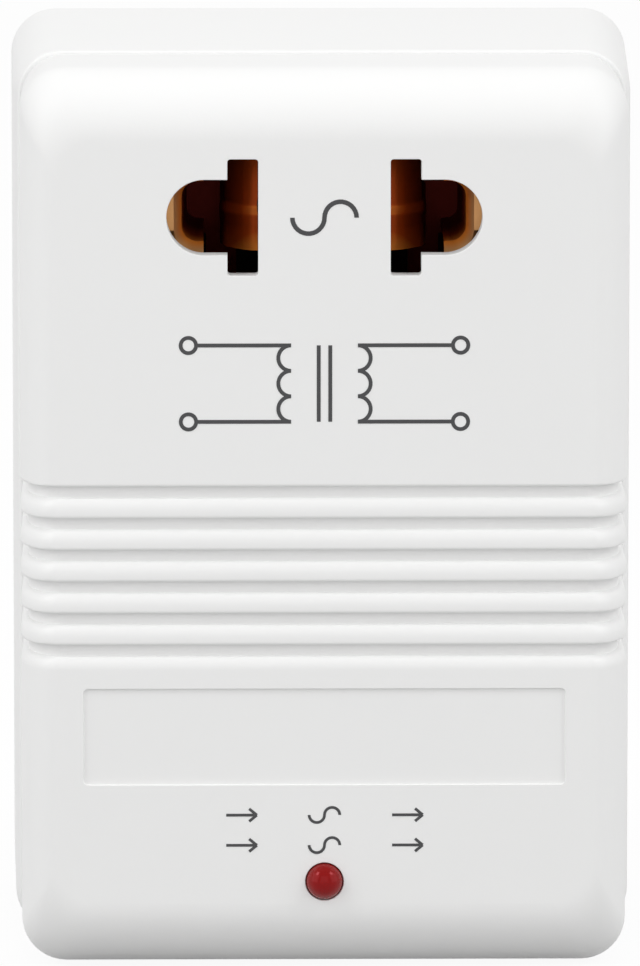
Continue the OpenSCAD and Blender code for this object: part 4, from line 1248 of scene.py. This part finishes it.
class ConverterPrint(bpy.types.Operator):
    """Model plain signs on the face: alternating current, a coil pair and arrows."""

    bl_idname = "converter.print"
    bl_label = "Printed Signs"

    def execute(self, context):
        strokes = ink_wave((0, SOCKET_Z), SOCKET_WAVE, INK_BOLD) + self.coil_pair(COIL_Z)
        for z in ROW_ZS:
            strokes += self.arrow((-ARROW_X, z))
            strokes += ink_wave((0, z), ROW_WAVE, INK_FINE)
            strokes += self.arrow((ARROW_X, z))
        for index, stroke in enumerate(strokes):
            stroke.location.y = -INK_STEP * (index % INK_LAYERS)
            settle(stroke)
        finish(joined("face_print", strokes), "white_case", "case", look="print_ink")
        return {"FINISHED"}

    def coil_pair(self, z):
        """Circuit sign of a transformer, with a terminal ring at the end of each lead."""
        low, high = z - BUMPS * BUMP, z + BUMPS * BUMP
        strokes = [ink_bar((x, low), (x, high)) for x in (-CORE_LINE_X, CORE_LINE_X)]
        for side in SIDES:
            coil_x = side * COIL_X
            for index in range(BUMPS):
                centre = (coil_x, z + (index - 1) * 2 * BUMP)
                strokes.append(ink_arc(centre, BUMP, 90 if side > 0 else 270, 180))
            for height in (low, high):
                strokes.append(ink_bar((coil_x, height), (side * LEAD_X, height)))
                strokes.append(ink_arc((side * (LEAD_X + RING), height), RING, 0, 360))
        return strokes

    def arrow(self, place):
        """Small arrow to the right."""
        x, z = place
        along_x, across_z = ARROW_BARB
        starts = (x - ARROW_REACH, z), (x + along_x, z + across_z), (x + along_x, z - across_z)
        return [ink_bar(start, (x + ARROW_REACH, z), INK_FINE) for start in starts]


# Parts that stay as the CAD has them, by finish
INNER_FINISHES = {
    "phenolic": ("contact_carrier",),
    "nylon": ("coil_bobbin",),
    "screw_steel": ("carrier_screws", "round_pin_axles", "blade_axles"),
    # The leaf contacts take the bronze with its painted shade, dark this deep inside the case
    "contact_bronze": ("round_pin_leaf_left", "round_pin_leaf_right", "blade_leaf_left", "blade_leaf_right"),
    "tinned_lead": ("lamp_leads", "terminal_pins"),
    "core_steel": ("core_e_stack", "core_i_stack"),
    "copper_wire": ("inner_winding", "outer_winding"),
    "yellow_tape": ("interlayer_tape", "outer_tape"),
    "fish_paper": ("insulation_sheet",),
    "board": ("lamp_board",),
    "resistor_body": ("lamp_resistor",),
    "fuse_body": ("thermal_fuse",),
    "red_wire": ("lamp_wires",),
    "black_wire": ("socket_wires",),
    "blue_wire": ("round_pin_wires",),
    "white_wire": ("blade_wires",),
}


class ConverterInnerParts(bpy.types.Operator):
    """Give each part that stays as the CAD has it its finish."""

    bl_idname = "converter.inner_parts"
    bl_label = "Inner Parts"

    def execute(self, context):
        for finish_name, nodes in INNER_FINISHES.items():
            for node in nodes:
                mesh = frame["nodes"][node].data
                mesh.materials.clear()
                mesh.materials.append(material_named(finish_name))
        return {"FINISHED"}


# Floor: radius, height of its rim and drop under the object, in metres, then its colours where it is seen
# and for the light it throws back, and the share of its own glow
FLOOR_RADIUS, BACKDROP_HEIGHT, FLOOR_DROP = 4.0, 0.45, 0.0002
FLOOR_SEEN, FLOOR_SHADE, FLOOR_GLOW = (0.95, 0.95, 0.95, 1.0), (0.45, 0.45, 0.45, 1.0), 0.92
FACE_MIDDLE = Vector((0, FACE_Y, TOP_Z / 2)) / MM
SENSOR = 36.0
# Lights: turn and rise in degrees, distance and width in metres, and the setting that holds the power
LIGHTS = {
    "spot_left": (-62, 45, 0.6, 0.18, "spots"),
    "spot_right": (62, 45, 0.6, 0.18, "spots"),
    "softbox_left": (-65, 18, 0.6, 0.5, "key"),
    "softbox_right": (65, 18, 0.6, 0.5, "fill"),
    "softbox_front": (0, 14, 1.0, 0.8, "front"),
}


def seen_rays(tree):
    """Mask of the rays that show a surface: from the camera, in a reflection or through glass."""
    path = add_node(tree, "LightPath").outputs
    mask = path["Is Camera Ray"]
    for ray in ("Is Glossy Ray", "Is Transmission Ray"):
        mask = add_node(tree, "Math", {0: mask, 1: path[ray]}, operation="MAXIMUM").outputs["Value"]
    return mask


def direction(turn, rise):
    """Direction from the face to a place in front of it, turned to the right and raised."""
    return Vector((sin(turn) * cos(rise), -cos(turn) * cos(rise), sin(rise)))


class ConverterStudio(bpy.types.Operator):
    """Set up the floor, the softboxes, the surrounding light and the camera."""

    bl_idname = "converter.studio"
    bl_label = "Studio"

    def execute(self, context):
        stage = context.scene.converter_stage
        self.add_floor()
        self.add_world(stage.ambient)
        for name, (turn, rise, distance, width, setting) in LIGHTS.items():
            away = direction(radians(turn), radians(rise))
            self.add_softbox(name, away, distance, width, getattr(stage, setting))
        self.add_camera(stage)
        context.scene.view_settings.view_transform = "Standard"
        return {"FINISHED"}

    def add_floor(self):
        """Round pale floor with an upturned rim, white where it is seen, that keeps the shadow."""
        deselect()
        low = (0, 0, -FLOOR_DROP)
        bpy.ops.mesh.primitive_circle_add(vertices=96, radius=FLOOR_RADIUS, fill_type="NGON", location=low)
        floor = bpy.context.object
        floor.name = "studio_floor"
        pick(floor, "EDGE", lambda edge: edge.is_boundary)
        bpy.ops.mesh.extrude_edges_move(TRANSFORM_OT_translate={"value": (0, 0, BACKDROP_HEIGHT)})
        leave_edit()
        material = bpy.data.materials.new("studio_floor")
        material.use_nodes = True
        tree = material.node_tree
        tree.nodes.remove(tree.nodes["Principled BSDF"])
        hues = (FLOOR_SEEN, FLOOR_SHADE)
        seen, shade = (add_node(tree, "BsdfDiffuse", {"Color": hue}).outputs["BSDF"] for hue in hues)
        glow = add_node(tree, "Emission").outputs["Emission"]
        white = add_node(tree, "MixShader", {0: FLOOR_GLOW, 1: seen, 2: glow}).outputs["Shader"]
        result = add_node(tree, "MixShader", {0: seen_rays(tree), 1: shade, 2: white})
        tree.links.new(result.outputs["Shader"], tree.nodes["Material Output"].inputs["Surface"])
        floor.data.materials.append(material)

    def add_world(self, ambient):
        """Even light all round."""
        world = bpy.data.worlds.new("studio_world")
        bpy.context.scene.world = world
        world.use_nodes = True
        background = world.node_tree.nodes["Background"]
        background.inputs["Color"].default_value = (1.0, 1.0, 1.0, 1.0)
        background.inputs["Strength"].default_value = ambient

    def add_softbox(self, name, away, distance, width, watts):
        """Softbox aimed at the middle of the face."""
        deselect()
        bpy.ops.object.light_add(type="AREA", location=FACE_MIDDLE + away * distance)
        lamp = bpy.context.object
        lamp.name = name
        lamp.rotation_euler = away.to_track_quat("Z", "Y").to_euler()
        lamp.data.size = width
        lamp.data.energy = watts

    def add_camera(self, stage):
        """Camera a little above the object and to its left."""
        away = direction(-stage.azimuth, stage.elevation)
        turn = away.to_track_quat("Z", "Y")
        shift = turn @ Vector((-stage.aim_left, stage.aim_up, 0))
        deselect()
        place = FACE_MIDDLE + away * stage.distance + shift
        bpy.ops.object.camera_add(location=place, rotation=turn.to_euler())
        camera = bpy.context.object
        camera.name = "photo_camera"
        camera.data.sensor_fit = "VERTICAL"
        camera.data.sensor_height = SENSOR
        camera.data.lens = stage.lens
        camera.data.clip_start = 0.01
        camera.data.dof.use_dof = False
        bpy.context.scene.camera = camera


class ConverterPanel(bpy.types.Panel):
    """Panel that lists the steps in their order."""

    bl_idname = "VIEW3D_PT_converter"
    bl_label = "Travel Converter"
    bl_space_type = "VIEW_3D"
    bl_region_type = "UI"
    bl_category = "Converter"

    def draw(self, context):
        for step in STEPS:
            self.layout.operator(step.bl_idname)
        for group in SETTINGS:
            settings = getattr(context.scene, group)
            box = self.layout.box()
            for name in settings.__annotations__:
                box.prop(settings, name)


STEPS = (
    ConverterFrontShell,
    ConverterRearCasing,
    ConverterLamp,
    ConverterContacts,
    ConverterRoundPlug,
    ConverterBladePlug,
    ConverterScrews,
    ConverterPrint,
    ConverterInnerParts,
    ConverterStudio,
)
SETTINGS = {
    "converter_case": ConverterCaseSizes,
    "converter_socket": ConverterSocketSizes,
    "converter_plugs": ConverterPlugSizes,
    "converter_colours": ConverterColours,
    "converter_stage": ConverterStage,
}


def register():
    for name, group in SETTINGS.items():
        bpy.utils.register_class(group)
        setattr(bpy.types.Scene, name, PointerProperty(type=group))
    for kind in (*STEPS, ConverterPanel):
        bpy.utils.register_class(kind)


def unregister():
    for kind in (ConverterPanel, *reversed(STEPS)):
        bpy.utils.unregister_class(kind)
    for name, group in reversed(SETTINGS.items()):
        delattr(bpy.types.Scene, name)
        bpy.utils.unregister_class(group)


def main():
    register()
    bpy.ops.converter.front_shell()
    bpy.ops.converter.rear_casing()
    bpy.ops.converter.lamp()
    bpy.ops.converter.contacts()
    bpy.ops.converter.round_plug()
    bpy.ops.converter.blade_plug()
    bpy.ops.converter.screws()
    bpy.ops.converter.print()
    bpy.ops.converter.inner_parts()
    bpy.ops.converter.studio()


if __name__ == "__main__":
    main()
